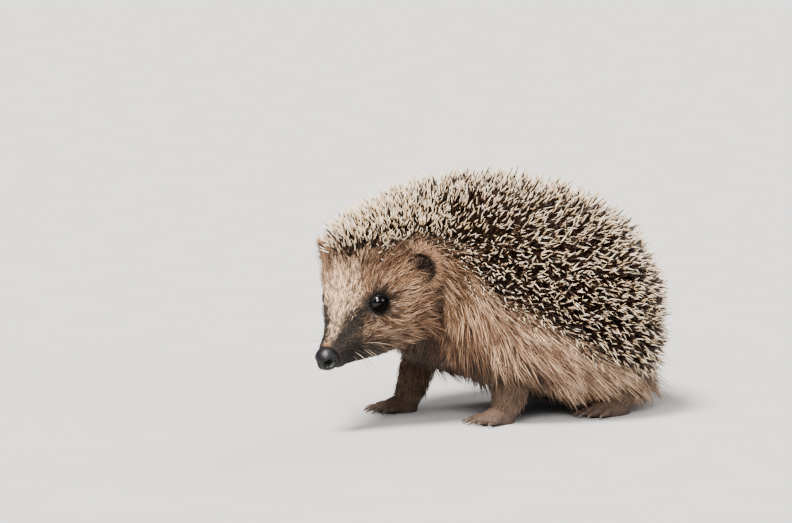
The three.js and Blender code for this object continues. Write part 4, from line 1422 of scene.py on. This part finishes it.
    def flank_lie(self, p: Place) -> Lie:
        """The upper, paler layer, that hangs down over the legs."""
        length = np.interp(p.along, [0, 1, 3.5, 5.5, 7, 9, 10.5], [13, 21, 33, 25, 19, 13.5, 9.0])
        length = length * (0.75 + 0.25 * smooth(p.ridge - p.spines_to, 0, 16))
        length = length * (1 - 0.4 * smooth(p.ridge, 132, 160) * smooth(p.along, 3.5, 5.5))
        sag = 0.15 + 0.4 * smooth(p.ridge, 110, 145) + 0.5 * smooth(p.along, 4.6, 2.6)
        return Lie.over(p, length, 0.46, 22 + 12 * smooth(p.ridge - p.spines_to, 12, -4),
                        self.flank_fall(p), sag)

    def fuzz_density(self, along: Array, angle: Array) -> Array:
        """On the brow and the bridge of the nose, both sides."""
        ridge = from_ridge(angle)
        reach = smooth(ridge, 75, 55) + smooth(along, 11.6, 11.2) * smooth(ridge, 85, 75)
        return self.bare(along, angle) * np.clip(reach, 0, 1) * smooth(along, 15.9, 14.5)

    def fuzz_lie(self, p: Place) -> Lie:
        """Fine hair that stands off the brow."""
        length = 3.4 + 2.0 * smooth(p.along, 14.5, 12.5) + 3.0 * smooth(p.along, 12.8, 11.8)
        return Lie.over(p, length, 0.26, 56, 0, 0)

    def fringe_density(self, along: Array, angle: Array) -> Array:
        """Along the edge of the spiny field."""
        return bump(from_ridge(angle) - BODY.spines_to(along), -1.0, 5.5)

    def fringe_lie(self, p: Place) -> Lie:
        """Loose, wild hair that rises between the lowest spines."""
        return Lie.over(p, 12.0, 0.32, 42, 0.5, 0.1)

    def belly_lie(self, p: Place) -> Lie:
        """Short hair that lies back along the belly."""
        return Lie.over(p, 7.0, 0.55, 14, 0, 0.1)

    def stretches(self) -> list[Hair]:
        """Every stretch of hair on head and body."""
        around = {Side.LEFT: (-90.0, 62.0), Side.RIGHT: (118.0, 270.0)}
        ears = {Side.LEFT: (-10.0, 55.0), Side.RIGHT: (125.0, 190.0)}
        found = [Hair("fur_brow", Window((10.9, 16.95), (-12, 192)), 11500, 31, STUBBLE, self.brow_density,
                      self.face_lie, tone=0.5, pale=1.0, clump=0.4, clumps=1500, blur=0.22)]
        found.append(Hair("bristles", Window((10.6, 13.6), (15, 165)), 70, 63, HAIR, self.bristle_density,
                          self.bristle_lie, tone=1.2, pale=1.0, clump=0, stray=14.0))
        for side in Side:
            seed = 41 if side is Side.LEFT else 51
            sides = around[side]
            found += [
                Hair(f"fur_cheek_{side.word}", Window((8.9, 16.95), sides), 10500, seed, STUBBLE,
                     self.cheek_density, self.face_lie, tone=0.42, pale=0.28, clump=0.35, clumps=1400,
                     blur=0.2),
                Hair(f"strands_face_{side.word}", Window((9.3, 15.2), sides), 3300, seed + 1, HAIR,
                     self.strand_density, self.strand_lie, tone=0.95, pale=1.0, clump=0.4, clumps=900,
                     stray=11.0, blur=0.3),
                Hair(f"fur_ear_{side.word}", Window((9.3, 12.2), ears[side]), 620, seed + 2, HAIR,
                     self.ear_density, self.ear_lie, tone=1.1, pale=1.0, clump=0.45, clumps=70),
                Hair(f"ruff_{side.word}", Window((9.4, 11.8), sides), 900, seed + 7, LONG_HAIR,
                     self.ruff_density, self.ruff_lie, tone=1.0, pale=0.85, clump=0.5, clumps=300),
                Hair(f"fur_neck_{side.word}", Window((5.9, 9.9), sides), 4200, seed + 3, HAIR,
                     self.flank_density, self.under_lie, tone=0.34, pale=0.1, clump=0.5, clumps=800),
                Hair(f"strands_neck_{side.word}", Window((5.9, 10.2), sides), 2500, seed + 4, LONG_HAIR,
                     self.flank_density, self.flank_lie, tone=1.2, pale=1.0, clump=0.62, clumps=700),
                Hair(f"fur_flank_{side.word}", Window((0.2, 6.3), sides), 5500, seed + 5, HAIR,
                     self.flank_density, self.under_lie, tone=0.3, pale=0.1, clump=0.5, clumps=1000),
                Hair(f"strands_flank_{side.word}", Window((0.2, 6.3), sides), 3000, seed + 6, LONG_HAIR,
                     self.flank_density, self.flank_lie, tone=0.74, pale=1.0, clump=0.76, clumps=850,
                     stray=6.0),
            ]
        found.append(Hair("fuzz_brow", Window((10.2, 15.9), (5, 175)), 2100, 66, STUBBLE, self.fuzz_density,
                          self.fuzz_lie, tone=1.0, pale=0.8, clump=0.15, clumps=500, stray=16.0, blur=0.25))
        for side, angles, seed in ((Side.LEFT, (-50, 50), 64), (Side.RIGHT, (130, 230), 65)):
            found.append(Hair(f"fringe_{side.word}", Window((1.0, 9.6), angles), 1500, seed, HAIR,
                              self.fringe_density, self.fringe_lie, tone=1.1, pale=1.0, clump=0.25,
                              clumps=400, stray=22.0))
        found.append(Hair("fur_belly", Window((0.6, 12.0), (-130, -50)), 2800, 61, STUBBLE,
                          self.belly_density, self.belly_lie))
        return found

    def spines(self) -> list[Spines]:
        """Every stretch of the spiny field."""
        return [
            Spines("spines_crown", Window((8.4, 12.4), (20, 160)), 1500, 71, length=13.5, thickness=0.68,
                   tips=0.0),
            Spines("spines_left", Window((1.6, 8.6), (-50, 90)), 3150, 73),
            Spines("spines_right", Window((1.6, 8.6), (90, 230)), 3150, 75),
            Spines("spines_rump", Window((0.02, 1.7), (-90, 270)), 1000, 77),
        ]


# ---- legs

TOES = 5
VOXEL = 0.00055                  # metres: how finely a leg's parts are melted into one
FOOT = linear(84, 68, 60)


def leg_colour(height: Array) -> Array:
    """The colour of a leg at each height: grey-brown foot, brown shank, and darkened at the top with the
    belly's brown as painted shade under the body.
    """
    # painted shade: the belly's brown, darker towards the top of the leg
    return mix(mix(FOOT, LEG, smooth(height, 1.5, 7.5)), BELLY, 0.85 * smooth(height, 13, 24))


@dataclass(frozen=True)
class Leg:
    """One leg: the path of the bone down into the foot, and the foot on the floor."""

    name: str
    path: tuple
    radii: tuple[float, ...]     # of the leg's outline, along the path
    foot: tuple[float, float]    # middle of the foot on the floor
    turn: float                  # degrees that the foot points to the left
    half_length: float           # of the pad, with its half width and height
    half_width: float
    height: float
    toe: float = 6.4
    claw: float = 4.0
    fur: float = 0.9             # how far the skin lies under the leg's outline
    hairs: int = 1300

    @property
    def ways(self) -> tuple[Array, Array, Array]:
        """Forward, left and up of the foot."""
        return directions(np.float64(self.turn), np.float64(0))

    def toe_roots(self) -> list[tuple[Array, Array]]:
        """Root and direction of each toe, in a fan."""
        forward, left, _ = self.ways
        heel = np.array([*self.foot, 0.0])
        roots = []
        for fan_at in np.linspace(-1, 1, TOES):
            way = directions(np.float64(self.turn + 24 * fan_at), np.float64(0))[0]
            ahead = self.half_length * (0.55 - 0.3 * fan_at ** 2)
            aside = 0.72 * fan_at * self.half_width
            roots.append((heel + ahead * forward + aside * left, way))
        return roots

    def flesh(self) -> Surface:
        """Shank, pad and toes as overlapping closed forms."""
        forward, left, up = self.ways
        shank = limb(np.array(self.path, dtype=float), np.array(self.radii) - self.fur, 36, 32)
        heel = np.array([*self.foot, 0.28 * self.height])
        half = (self.half_width - 0.5, self.height - 1.2, self.half_length - 0.3)
        pad = ball(heel, (left, up, forward), half)
        toes = []
        for root, way in self.toe_roots():
            line = [root - 1.5 * way + 2.6 * up, root + 0.35 * self.toe * way + 2.5 * up,
                    root + 0.72 * self.toe * way + 2.1 * up, root + self.toe * way + 1.5 * up]
            toes.append(limb(np.array(line), np.array([1.7, 1.75, 1.55, 1.25]), 16, 14))
        return shank.joined(pad, *toes)

    def solid(self) -> Piece:
        """The flesh as one smooth closed mesh, flat where it stands on the floor."""
        piece = stand(f"flesh_{self.name}", self.flesh().mesh(f"flesh_{self.name}"))
        remesh = piece.modifiers.new("one form", "REMESH")
        remesh.mode = "VOXEL"
        remesh.voxel_size = VOXEL
        even = piece.modifiers.new("even", "SMOOTH")
        even.factor = 0.5
        even.iterations = 5
        settle(piece)
        co = np.empty(len(piece.data.vertices) * 3, dtype=np.float32)
        piece.data.vertices.foreach_get("co", co)
        co = co.reshape(-1, 3)
        co[:, 2] = np.maximum(co[:, 2], 0)
        piece.data.vertices.foreach_set("co", co.ravel())
        store(piece.data, "coat", leg_colour(co[:, 2] * 1000))
        return piece

    def claws(self, finish: Material) -> Piece:
        """Five claws: curved, tapering forms that end just over the floor."""
        up = self.ways[2]
        forms = []
        for root, way in self.toe_roots():
            base = root + (self.toe - 0.9) * way + 1.7 * up
            line = [base, base + 0.4 * self.claw * way + 0.25 * up, base + 0.85 * self.claw * way - 0.2 * up,
                    base + (self.claw + 0.9) * way - 1.25 * up]
            forms.append(limb(np.array(line), np.array([0.75, 0.72, 0.5, 0.1]), 16, 12, flat=1.15))
        name = self.name.replace("leg_", "claws_")
        return forms[0].joined(*forms[1:]).piece(name, finish, Slot.LEGS)

    def fur_piece(self, finish: Material, seed: int) -> Piece:
        """Short hair down the shank, on an unwrap of place along and angle round."""
        rng = np.random.default_rng(seed)
        x, y = even_points(self.hairs, 0.01, rng)
        path, way = path_through(np.array(self.path, dtype=float), 200)
        share = 0.12 + 0.78 * x
        spot = (share * 199).astype(int)
        radius = np.interp(share, np.linspace(0, 1, len(self.radii)), self.radii) - self.fur - 0.2
        across = unit(np.cross(way[spot], np.array([0.0, 1.0, 0.0])))
        other = np.cross(across, way[spot])
        u = 2 * math.pi * y[:, None]
        out = np.cos(u) * across + np.sin(u) * other
        root = path[spot] + radius[:, None] * out
        foot = root[:, 2] < 7.0
        root, out, down, share = root[~foot], out[~foot], way[spot][~foot], share[~foot]
        m = len(root)
        back = np.array([0, 1.0, 0])
        first = unit(0.9 * down + 0.38 * out + 0.3 * back + 0.16 * rng.normal(size=(m, 3)))
        last = unit(down + 0.1 * out + 0.16 * rng.normal(size=(m, 3)))
        length = over_floor((4.6 - 1.8 * share) * uneven(rng, m, 0.2, 0.5, 1.5), root, first, 0.5)
        values = {"coat": leg_colour(root[:, 2]), "chance": rng.uniform(size=m)}
        uv = np.stack([x, y], axis=1)[~foot]
        shank = grown(HAIR, root, out, first, last, length, np.full(m, 0.42), uv, values)
        return shank.piece(f"fur_{self.name}", finish, Slot.LEGS)


LEGS = (
    Leg("leg_front_left", ((22, -24, 34), (23, -22, 22), (23.5, -23, 11), (23.5, -25.5, 1.5)),
        (8.0, 7.8, 7.0, 6.0), (23.5, -28.0), 8, 8, 6, 6),
    Leg("leg_front_right", ((-22, -34, 36), (-22, -38, 22), (-21.5, -42, 11), (-21, -45.5, 1.5)),
        (8.0, 7.8, 6.8, 6.0), (-21.0, -48.0), -4, 8, 6, 6),
    Leg("leg_hind_left", ((22, 20, 30), (24, 19, 19), (25, 26, 10), (25.5, 28, 1.5)),
        (11.0, 9.6, 7.4, 5.8), (26.0, 21.0), 10, 11, 5.8, 6.2, claw=3.4),
    Leg("leg_hind_right", ((-22, 24, 30), (-24, 24, 19), (-25, 33, 10), (-25.5, 35, 1.5)),
        (11.0, 9.6, 7.4, 5.8), (-26.0, 28.0), -10, 11, 5.8, 6.2, claw=3.4),
)


# ---- skin


@dataclass(frozen=True)
class Skin:
    """The whole skin as one piece: trunk and head, legs, ears and tail."""

    columns: int = 208
    tail_path: tuple = ((0, 42, 20), (0, 49, 15), (0, 54.5, 11.4))

    def trunk(self) -> Surface:
        """Body and head as one closed tube of rings over the sections."""
        along = np.concatenate([np.linspace(0.03, 1, 12)[:-1], np.linspace(1, 9, 84)[:-1],
                                np.linspace(9, MUZZLE_END, 118)])
        angle = np.linspace(0, 2 * math.pi, self.columns, endpoint=False)
        a, t = (g.ravel() for g in np.meshgrid(along, angle, indexing="ij"))
        p = BODY.place(a, t)
        points = p.point + relief(p)[:, None] * p.out
        rings = points.reshape(len(along), self.columns, 3)
        start = BODY.section(np.array([0.0]))[0, :3]
        end = BODY.section(np.array([float(MUZZLE_END)]))[0, :3]
        surface = closed_tube(rings, start, end)
        d, _, _ = head_place(p.point)
        # painted shade under the hair: the skin is darkened to 0.35 of its markings, less so towards the
        # nose end
        shade = 0.35 + 0.65 * smooth(d, 20, 9)
        surface.values["coat"] = with_poles(MARKINGS.colour(p) * shade[:, None])
        return surface

    def ear(self, side: Side) -> Surface:
        """The cup of an ear: rings from the bottom of the cup out to the rim and back behind it."""
        middle, across, rise, facing = EAR.axes(side)
        cup = np.linspace(0.1, 0.84, 9)
        rim = np.array([0.9, 0.96, 0.995, 1.0])
        behind = np.linspace(0.97, 0.1, 9)
        share = np.concatenate([cup, rim, behind])
        depth = np.concatenate([
            EAR.cup(cup),
            EAR.lip + np.array([0.22, 0.2, -0.1, -0.5]),
            -EAR.depth / 2 * np.sqrt(1 - behind ** 2) - 0.2,
        ])
        u = np.linspace(0, 2 * math.pi, 48, endpoint=False)
        wave = 1 + 0.03 * np.sin(3 * u + 1) + 0.02 * np.sin(5 * u)
        x = EAR.width / 2 * share[:, None] * (np.cos(u) * wave)[None]
        y = EAR.height / 2 * share[:, None] * (np.sin(u) * wave * (1 + 0.06 * np.sin(u)))[None]
        z = depth[:, None] + 0.5 * (share[:, None] ** 2) * np.cos(2 * u)[None]
        rings = middle + x[..., None] * across + y[..., None] * rise + z[..., None] * facing
        front, rear = middle + depth[0] * facing, middle + depth[-1] * facing
        handed = dot(np.cross(across, rise), facing) > 0
        surface = closed_tube(rings, front, rear, turned=handed)
        # painted shade: the ear's dark skin is darkened further away from the rim, deep in the cup and
        # behind it towards the head
        tone = mix(HOLLOW * 0.3, HOLLOW * 0.6, smooth(share, 0.6, 0.95))
        surface.values["coat"] = with_poles(np.repeat(tone, len(u), axis=0))
        return surface

    def tail(self) -> Surface:
        """The short, bare tail."""
        surface = limb(np.array(self.tail_path, dtype=float), np.array([3.0, 2.6, 1.5]), 24, 24)
        surface.values["coat"] = np.tile(linear(120, 92, 80), (len(surface.points), 1))
        return surface

    def build(self, finish: Material) -> Piece:
        """Joins every part of the skin into one closed mesh."""
        skin = stand("skin", self.trunk().mesh("skin"))
        limbs = [leg.solid() for leg in LEGS]
        small = self.ear(Side.LEFT).joined(self.ear(Side.RIGHT), self.tail())
        limbs.append(stand("flesh_small", small.mesh("flesh_small")))
        for part in limbs:
            union = skin.modifiers.new("union", "BOOLEAN")
            union.operation = "UNION"
            union.solver = "MANIFOLD"
            union.object = part
        settle(skin)
        for part in limbs:
            bpy.data.objects.remove(part)
        skin.data.materials.clear()
        skin.data.materials.append(finish)
        skin.data.shade_smooth()
        attach(skin)
        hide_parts("torso", "head", "ear_left", "ear_right", "tail", *[leg.name for leg in LEGS])
        return skin


# ---- nose, eyes and whiskers


@dataclass(frozen=True)
class Nose:
    """The nose pad, with its nostrils and the groove between them."""

    centre: float = 3.6
    half: tuple[float, float, float] = (4.9, 4.7, 5.2)

    def build(self, finish: Material) -> Piece:
        """An ellipsoid pressed in at the nostrils and along the middle."""
        middle = head_point(self.centre, 0, 0)
        axes = np.array([HEAD_LEFT, HEAD_UP, HEAD_FORWARD])
        surface = ball(middle, tuple(axes), self.half, 96, 128)
        local = (surface.points - middle) @ axes.T
        side, up, fore = np.abs(local[:, 0]), local[:, 1], local[:, 2]
        hole = np.exp(-(((side - 3.2) / 1.35) ** 4 + ((up - 0.1) / 1.45) ** 4 + ((fore - 3.2) / 2.2) ** 4))
        slit = np.exp(-((side - 4.6) / 1.1) ** 2 - ((up + 0.7) / 0.5) ** 2 - ((fore - 0.9) / 1.7) ** 2)
        edge = np.exp(-((side - 3.2) / 2.2) ** 2 - ((up + 1.9) / 0.7) ** 2 - ((fore - 2.6) / 2.0) ** 2)
        groove = bump(side, 0, 0.35) * smooth(fore, 1.0, 3.5) * smooth(up, 2.6, 0.5)
        press = -2.9 * hole - 1.0 * slit + 0.3 * edge - 0.45 * groove
        surface.points += (press[:, None]) * unit(local) @ axes
        # painted highlight on the top of the pad, held back in the nostrils as painted shade
        surface.values["top"] = smooth(up, 0.5, 4.2) * (1 - 0.8 * np.clip(hole + slit, 0, 1))
        piece = surface.piece("nose_pad", finish, Slot.NOSE)
        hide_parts("nose")
        return piece


@dataclass(frozen=True)
class Eye:
    """One eye: the ball, and the dark lids that ring it."""

    side: Side
    # Section of the lids: distance from the eye's axis, and height over the ball's middle.
    lids: tuple = ((3.0, 1.6), (3.08, 2.2), (3.16, 2.34), (3.3, 2.34), (3.5, 2.16), (3.75, 1.8),
                   (4.1, 1.1), (3.9, 0.6), (3.4, 0.9))

    def ball(self, finish: Material) -> Piece:
        """The eyeball, with a slightly raised cornea."""
        seat = EYE_SEATS[self.side]
        middle = EYE.centre(self.side)
        surface = ball(middle, (seat.fore, seat.up, seat.out), (EYE.radius,) * 3, 48, 64)
        way = unit(surface.points - middle)
        turn = np.arccos(np.clip(dot(way, seat.out), -1, 1))
        surface.points -= 0.22 * bump(turn, 0, 0.5)[:, None] * way
        surface.values["reach"] = np.clip(turn / 1.2, 0, 1)
        surface.values["height"] = smooth(dot(way, seat.up), 0.0, 0.36)
        piece = surface.piece(f"eye_ball_{self.side.word}", finish, Slot.EYE)
        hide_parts(f"eye_{self.side.word}")
        return piece

    def rim(self, finish: Material) -> Piece:
        """The lids: their section carried round the eye, drawn out a little to the corners."""
        seat = EYE_SEATS[self.side]
        u = np.linspace(0, 2 * math.pi, 72, endpoint=False)
        radius, height = np.array(self.lids).T
        stretch = 1 + 0.07 * np.abs(np.cos(u)) ** 5 - 0.03 * np.abs(np.sin(u)) ** 3
        height = height[None] - 0.15 * np.abs(np.cos(u))[:, None] ** 4
        x = radius[None] * (stretch * np.cos(u))[:, None]
        y = radius[None] * (stretch * np.sin(u))[:, None]
        rings = (EYE.centre(self.side) + x[..., None] * seat.fore + y[..., None] * seat.up
                 + height[..., None] * seat.out)
        count = len(radius)
        rows = np.concatenate([rings, rings[:1]])
        faces = lattice(len(rows), count) % (len(u) * count)
        if dot(np.cross(seat.fore, seat.up), seat.out) < 0:
            faces = faces[:, ::-1]
        return Surface(rings.reshape(-1, 3), [faces]).piece(f"lids_{self.side.word}", finish, Slot.SKIN)


@dataclass(frozen=True)
class EarHair:
    """Fine hair in and on one ear: whitish in the cup, brown behind and on the rim."""

    side: Side
    count: int = 1300
    cup: float = 0.1             # share of the hairs that stand in the cup
    rim: float = 0.45            # and on the rim

    def build(self, finish: Material) -> Piece:
        """Hair of the cup points out of it and across; hair of the back lies towards the rim."""
        middle, across, rise, facing = EAR.axes(self.side)
        rng = np.random.default_rng(85)
        x, y = even_points(self.count, 0.01, rng)
        inside = x < self.cup
        rim = (x > self.cup) & (x < self.cup + self.rim)
        shares = [0.5 + 4 * x, 0.84 + 0.36 * (x - self.cup)]
        share = np.select([inside, rim], shares, 0.4 + 1.3 * (x - self.cup - self.rim))
        u = 2 * math.pi * y
        radial = np.cos(u)[:, None] * across + np.sin(u)[:, None] * rise
        dome = np.sqrt(np.maximum(1 - share ** 2, 0))
        depth = np.select([inside, rim], [EAR.cup(share), 0.95 + 0 * x], -EAR.depth / 2 * dome)
        root = (middle + (EAR.width / 2 * share * np.cos(u))[:, None] * across
                + (EAR.height / 2 * share * np.sin(u))[:, None] * rise + depth[:, None] * facing)
        stray = 0.25 * rng.normal(size=root.shape)
        behind = share[:, None] * radial - dome[:, None] * facing
        out = unit(np.where(inside[:, None], facing - 0.6 * radial, np.where(rim[:, None], facing, behind)))
        inwards = 0.7 * facing - 0.7 * radial + 0.25 * rise
        swept = 0.45 * radial + 0.4 * facing - 0.7 * HEAD_FORWARD - 0.45 * rise
        lies = np.where(inside[:, None], inwards, 0.8 * radial + 0.55 * rise)
        lies = unit(np.where(rim[:, None], swept, lies))
        first = unit(lies + 0.5 * out + stray)
        last = unit(lies + 0.1 * out + 0.3 * stray)
        length = rng.uniform(1.8, 5.6, self.count)
        tone = np.where(inside[:, None], linear(96, 76, 64), linear(160, 122, 92))
        # painted light: hair on the right ear, the side turned from the main light, is made 1.5 times paler
        tone = tone * rng.uniform(0.3, 1.4, (self.count, 1)) * (1.5 if self.side is Side.RIGHT else 1.0)
        values = {"coat": tone, "chance": rng.uniform(size=self.count)}
        surface = grown(STUBBLE, root - 0.2 * first, out, first, last, length,
                        np.where(inside, 0.2, 0.3), np.stack([x, y], axis=1), values)
        return surface.piece(f"fur_cup_{self.side.word}", finish, Slot.SKIN)


@dataclass(frozen=True)
class Whiskers:
    """The thin long hairs at one side of the muzzle."""

    side: Side
    count: int = 13

    def build(self, finish: Material) -> Piece:
        """Thin tapering hairs that spread outwards, back and down."""
        low, high = (-38, 16) if self.side is Side.LEFT else (164, 218)
        ends = along_head(17.0), along_head(8.5)
        roots = Roots.strewn(Window(ends, (low, high)), self.count, lambda a, t: 1 + 0 * a, 81)
        p = roots.place
        rng = np.random.default_rng(82)
        first = unit(p.out + 0.3 * p.back + 0.2 * p.down + 0.25 * rng.normal(size=p.out.shape))
        last = unit(0.8 * p.out + 0.4 * p.back + 0.9 * p.down + 0.25 * rng.normal(size=p.out.shape))
        length = rng.uniform(7.0, 17.0, self.count)
        tone = np.where(rng.uniform(size=(self.count, 1)) < 0.5, linear(216, 190, 166), linear(60, 46, 40))
        values = {"coat": tone, "chance": np.full(self.count, 0.5)}
        surface = grown(LONG_HAIR, p.point - 0.5 * first, p.out, first, last, length,
                        np.full(self.count, 0.19), roots.uv, values)
        return surface.piece(f"whiskers_{self.side.word}", finish, Slot.FACE)


# ---- studio


@dataclass(frozen=True)
class Studio:
    """Floor, soft lights and camera."""

    azimuth: float = 62.0
    elevation: float = 7.0
    distance: float = 1760.0     # millimetres
    lens: float = 200.0          # on the usual 36 mm wide film
    middle: tuple[float, float] = (-53.6, 59.4)      # right of and up from the origin, as the view has them
    fill: float = 0.3            # light of the surroundings on the animal
    pale: tuple[float, float, float] = (1.89, 1.875, 1.855)      # and as the camera sees them

    def ways(self) -> tuple[Array, Array, Array]:
        """Right, up and back of the camera."""
        a, e = self.azimuth * RAD, self.elevation * RAD
        back = np.array([math.sin(a) * math.cos(e), -math.cos(a) * math.cos(e), math.sin(e)])
        right = np.array([math.cos(a), math.sin(a), 0.0])
        return right, np.cross(back, right), back

    def aim(self, item: Piece, place: Array, *axes: Array) -> None:
        """Puts a camera or light at a place in millimetres, with its own three directions."""
        matrix = np.eye(4)
        matrix[:3, :3] = np.transpose(axes)
        matrix[:3, 3] = PLACING.metres(place)
        item.matrix_world = Matrix(matrix.tolist())
        bpy.context.scene.collection.objects.link(item)

    def camera(self) -> None:
        """The camera."""
        data = bpy.data.cameras.new("camera")
        data.lens = self.lens
        data.sensor_width = 36.0
        data.clip_end = 50.0
        item = bpy.data.objects.new("camera", data)
        right, up, back = self.ways()
        target = self.middle[0] * right + self.middle[1] * up
        self.aim(item, target + self.distance * back, right, up, back)
        bpy.context.scene.camera = item

    def lamp(self, name: str, way: tuple[float, float, float], width: float, power: float,
             tint: tuple[float, float, float]) -> None:
        """A soft light from afar; the way to it is given as right of, up from and towards the camera."""
        right, up, back = self.ways()
        z = unit(way[0] * right + way[1] * up + way[2] * back)
        x = unit(np.cross(np.array([0.0, 0.0, 1.0]), z))
        data = bpy.data.lights.new(name, "SUN")
        data.angle = width * RAD
        data.energy = power
        data.color = tint
        item = bpy.data.objects.new(name, data)
        self.aim(item, 1000 * z, x, np.cross(z, x), z)

    def backdrop(self) -> None:
        """A plain pale surrounding: dimmer as light on the animal than as the camera sees it."""
        world = bpy.data.worlds.new("world")
        world.use_nodes = True
        tree = world.node_tree
        fill = tree.nodes["Background"]
        fill.inputs["Color"].default_value = (0.9, 0.94, 1.0, 1.0)
        fill.inputs["Strength"].default_value = self.fill
        seen = tree.nodes.new("ShaderNodeBackground")
        seen.inputs["Color"].default_value = (*self.pale, 1.0)
        rays = tree.nodes.new("ShaderNodeLightPath")
        both = tree.nodes.new("ShaderNodeMixShader")
        tree.links.new(rays.outputs["Is Camera Ray"], both.inputs[0])
        tree.links.new(fill.outputs[0], both.inputs[1])
        tree.links.new(seen.outputs[0], both.inputs[2])
        tree.links.new(both.outputs[0], tree.nodes["World Output"].inputs["Surface"])
        bpy.context.scene.world = world

    def floor(self) -> None:
        """A wide, plain, pale floor."""
        reach = 40000.0
        corners = np.array([[-reach, -reach, 0], [reach, -reach, 0], [reach, reach, 0], [-reach, reach, 0]])
        wiring = Wiring("floor", Roughness=1.0, Specular_IOR_Level=0.0)
        wiring.colour(wiring.ramp(wiring.noise(30.0), [(0.3, grey(0.54)), (0.7, grey(0.56))]))
        mesh = Surface(corners, [np.array([[0, 1, 2, 3]])]).mesh("floor")
        stand("floor", mesh, wiring.material)

    def build(self) -> None:
        """Everything round the animal."""
        self.camera()
        self.floor()
        self.lamp("key", (-0.35, 1.0, 0.6), 20, 9.4, (1.0, 0.95, 0.88))
        self.lamp("front", (-0.18, 0.52, 0.95), 26, 2.9, (1.0, 0.97, 0.93))
        self.lamp("side", (0.9, 0.45, 0.6), 30, 1.2, (1.0, 0.98, 0.95))
        self.lamp("rim", (0.5, 0.8, -0.8), 20, 1.8, (1.0, 0.97, 0.92))
        self.backdrop()


def main() -> None:
    """Builds the animal piece by piece, then the studio."""
    studio = Studio()
    studio.build()
    hair = FurFinish("coat_hair", root=0.15, tip=1.65).material()
    face = FurFinish("face_hair", root=0.2, tip=1.5).material()
    leg_hair = FurFinish("leg_hair", root=0.4, tip=1.45, spread=0.6).material()
    spine = SpineFinish("spine").material()
    horn = PlainFinish("claw_horn", linear(96, 78, 64), linear(58, 45, 38), 0.35).material()
    lid = PlainFinish("lid_skin", linear(8, 6, 7), linear(5, 4, 4), 0.6, shine=0.18).material()
    pieces = [Skin().build(HideFinish("hide").material()), Nose().build(NoseFinish("nose_skin").material())]
    eye = EyeFinish("eye").material()
    for side in Side:
        lidded = Eye(side)
        pieces += [lidded.ball(eye), lidded.rim(lid), Whiskers(side).build(face), EarHair(side).build(face)]
    for number, leg in enumerate(LEGS):
        pieces += [leg.claws(horn), leg.fur_piece(leg_hair, 91 + number)]
    coat = Coat()
    pieces += [stretch.build(spine) for stretch in coat.spines()]
    for stretch in coat.stretches():
        pieces.append(stretch.build(face if stretch.window.along[0] > FACE_FROM else hair))
    total = 0
    for piece in pieces:
        triangles = sum(len(polygon.vertices) - 2 for polygon in piece.data.polygons)
        total += triangles
        LOG.info("%s: %d triangles", piece.name, triangles)
    LOG.info("whole model: %d triangles", total)


if __name__ == "__main__":
    logging.basicConfig(level=logging.INFO, format="%(message)s")
    main()
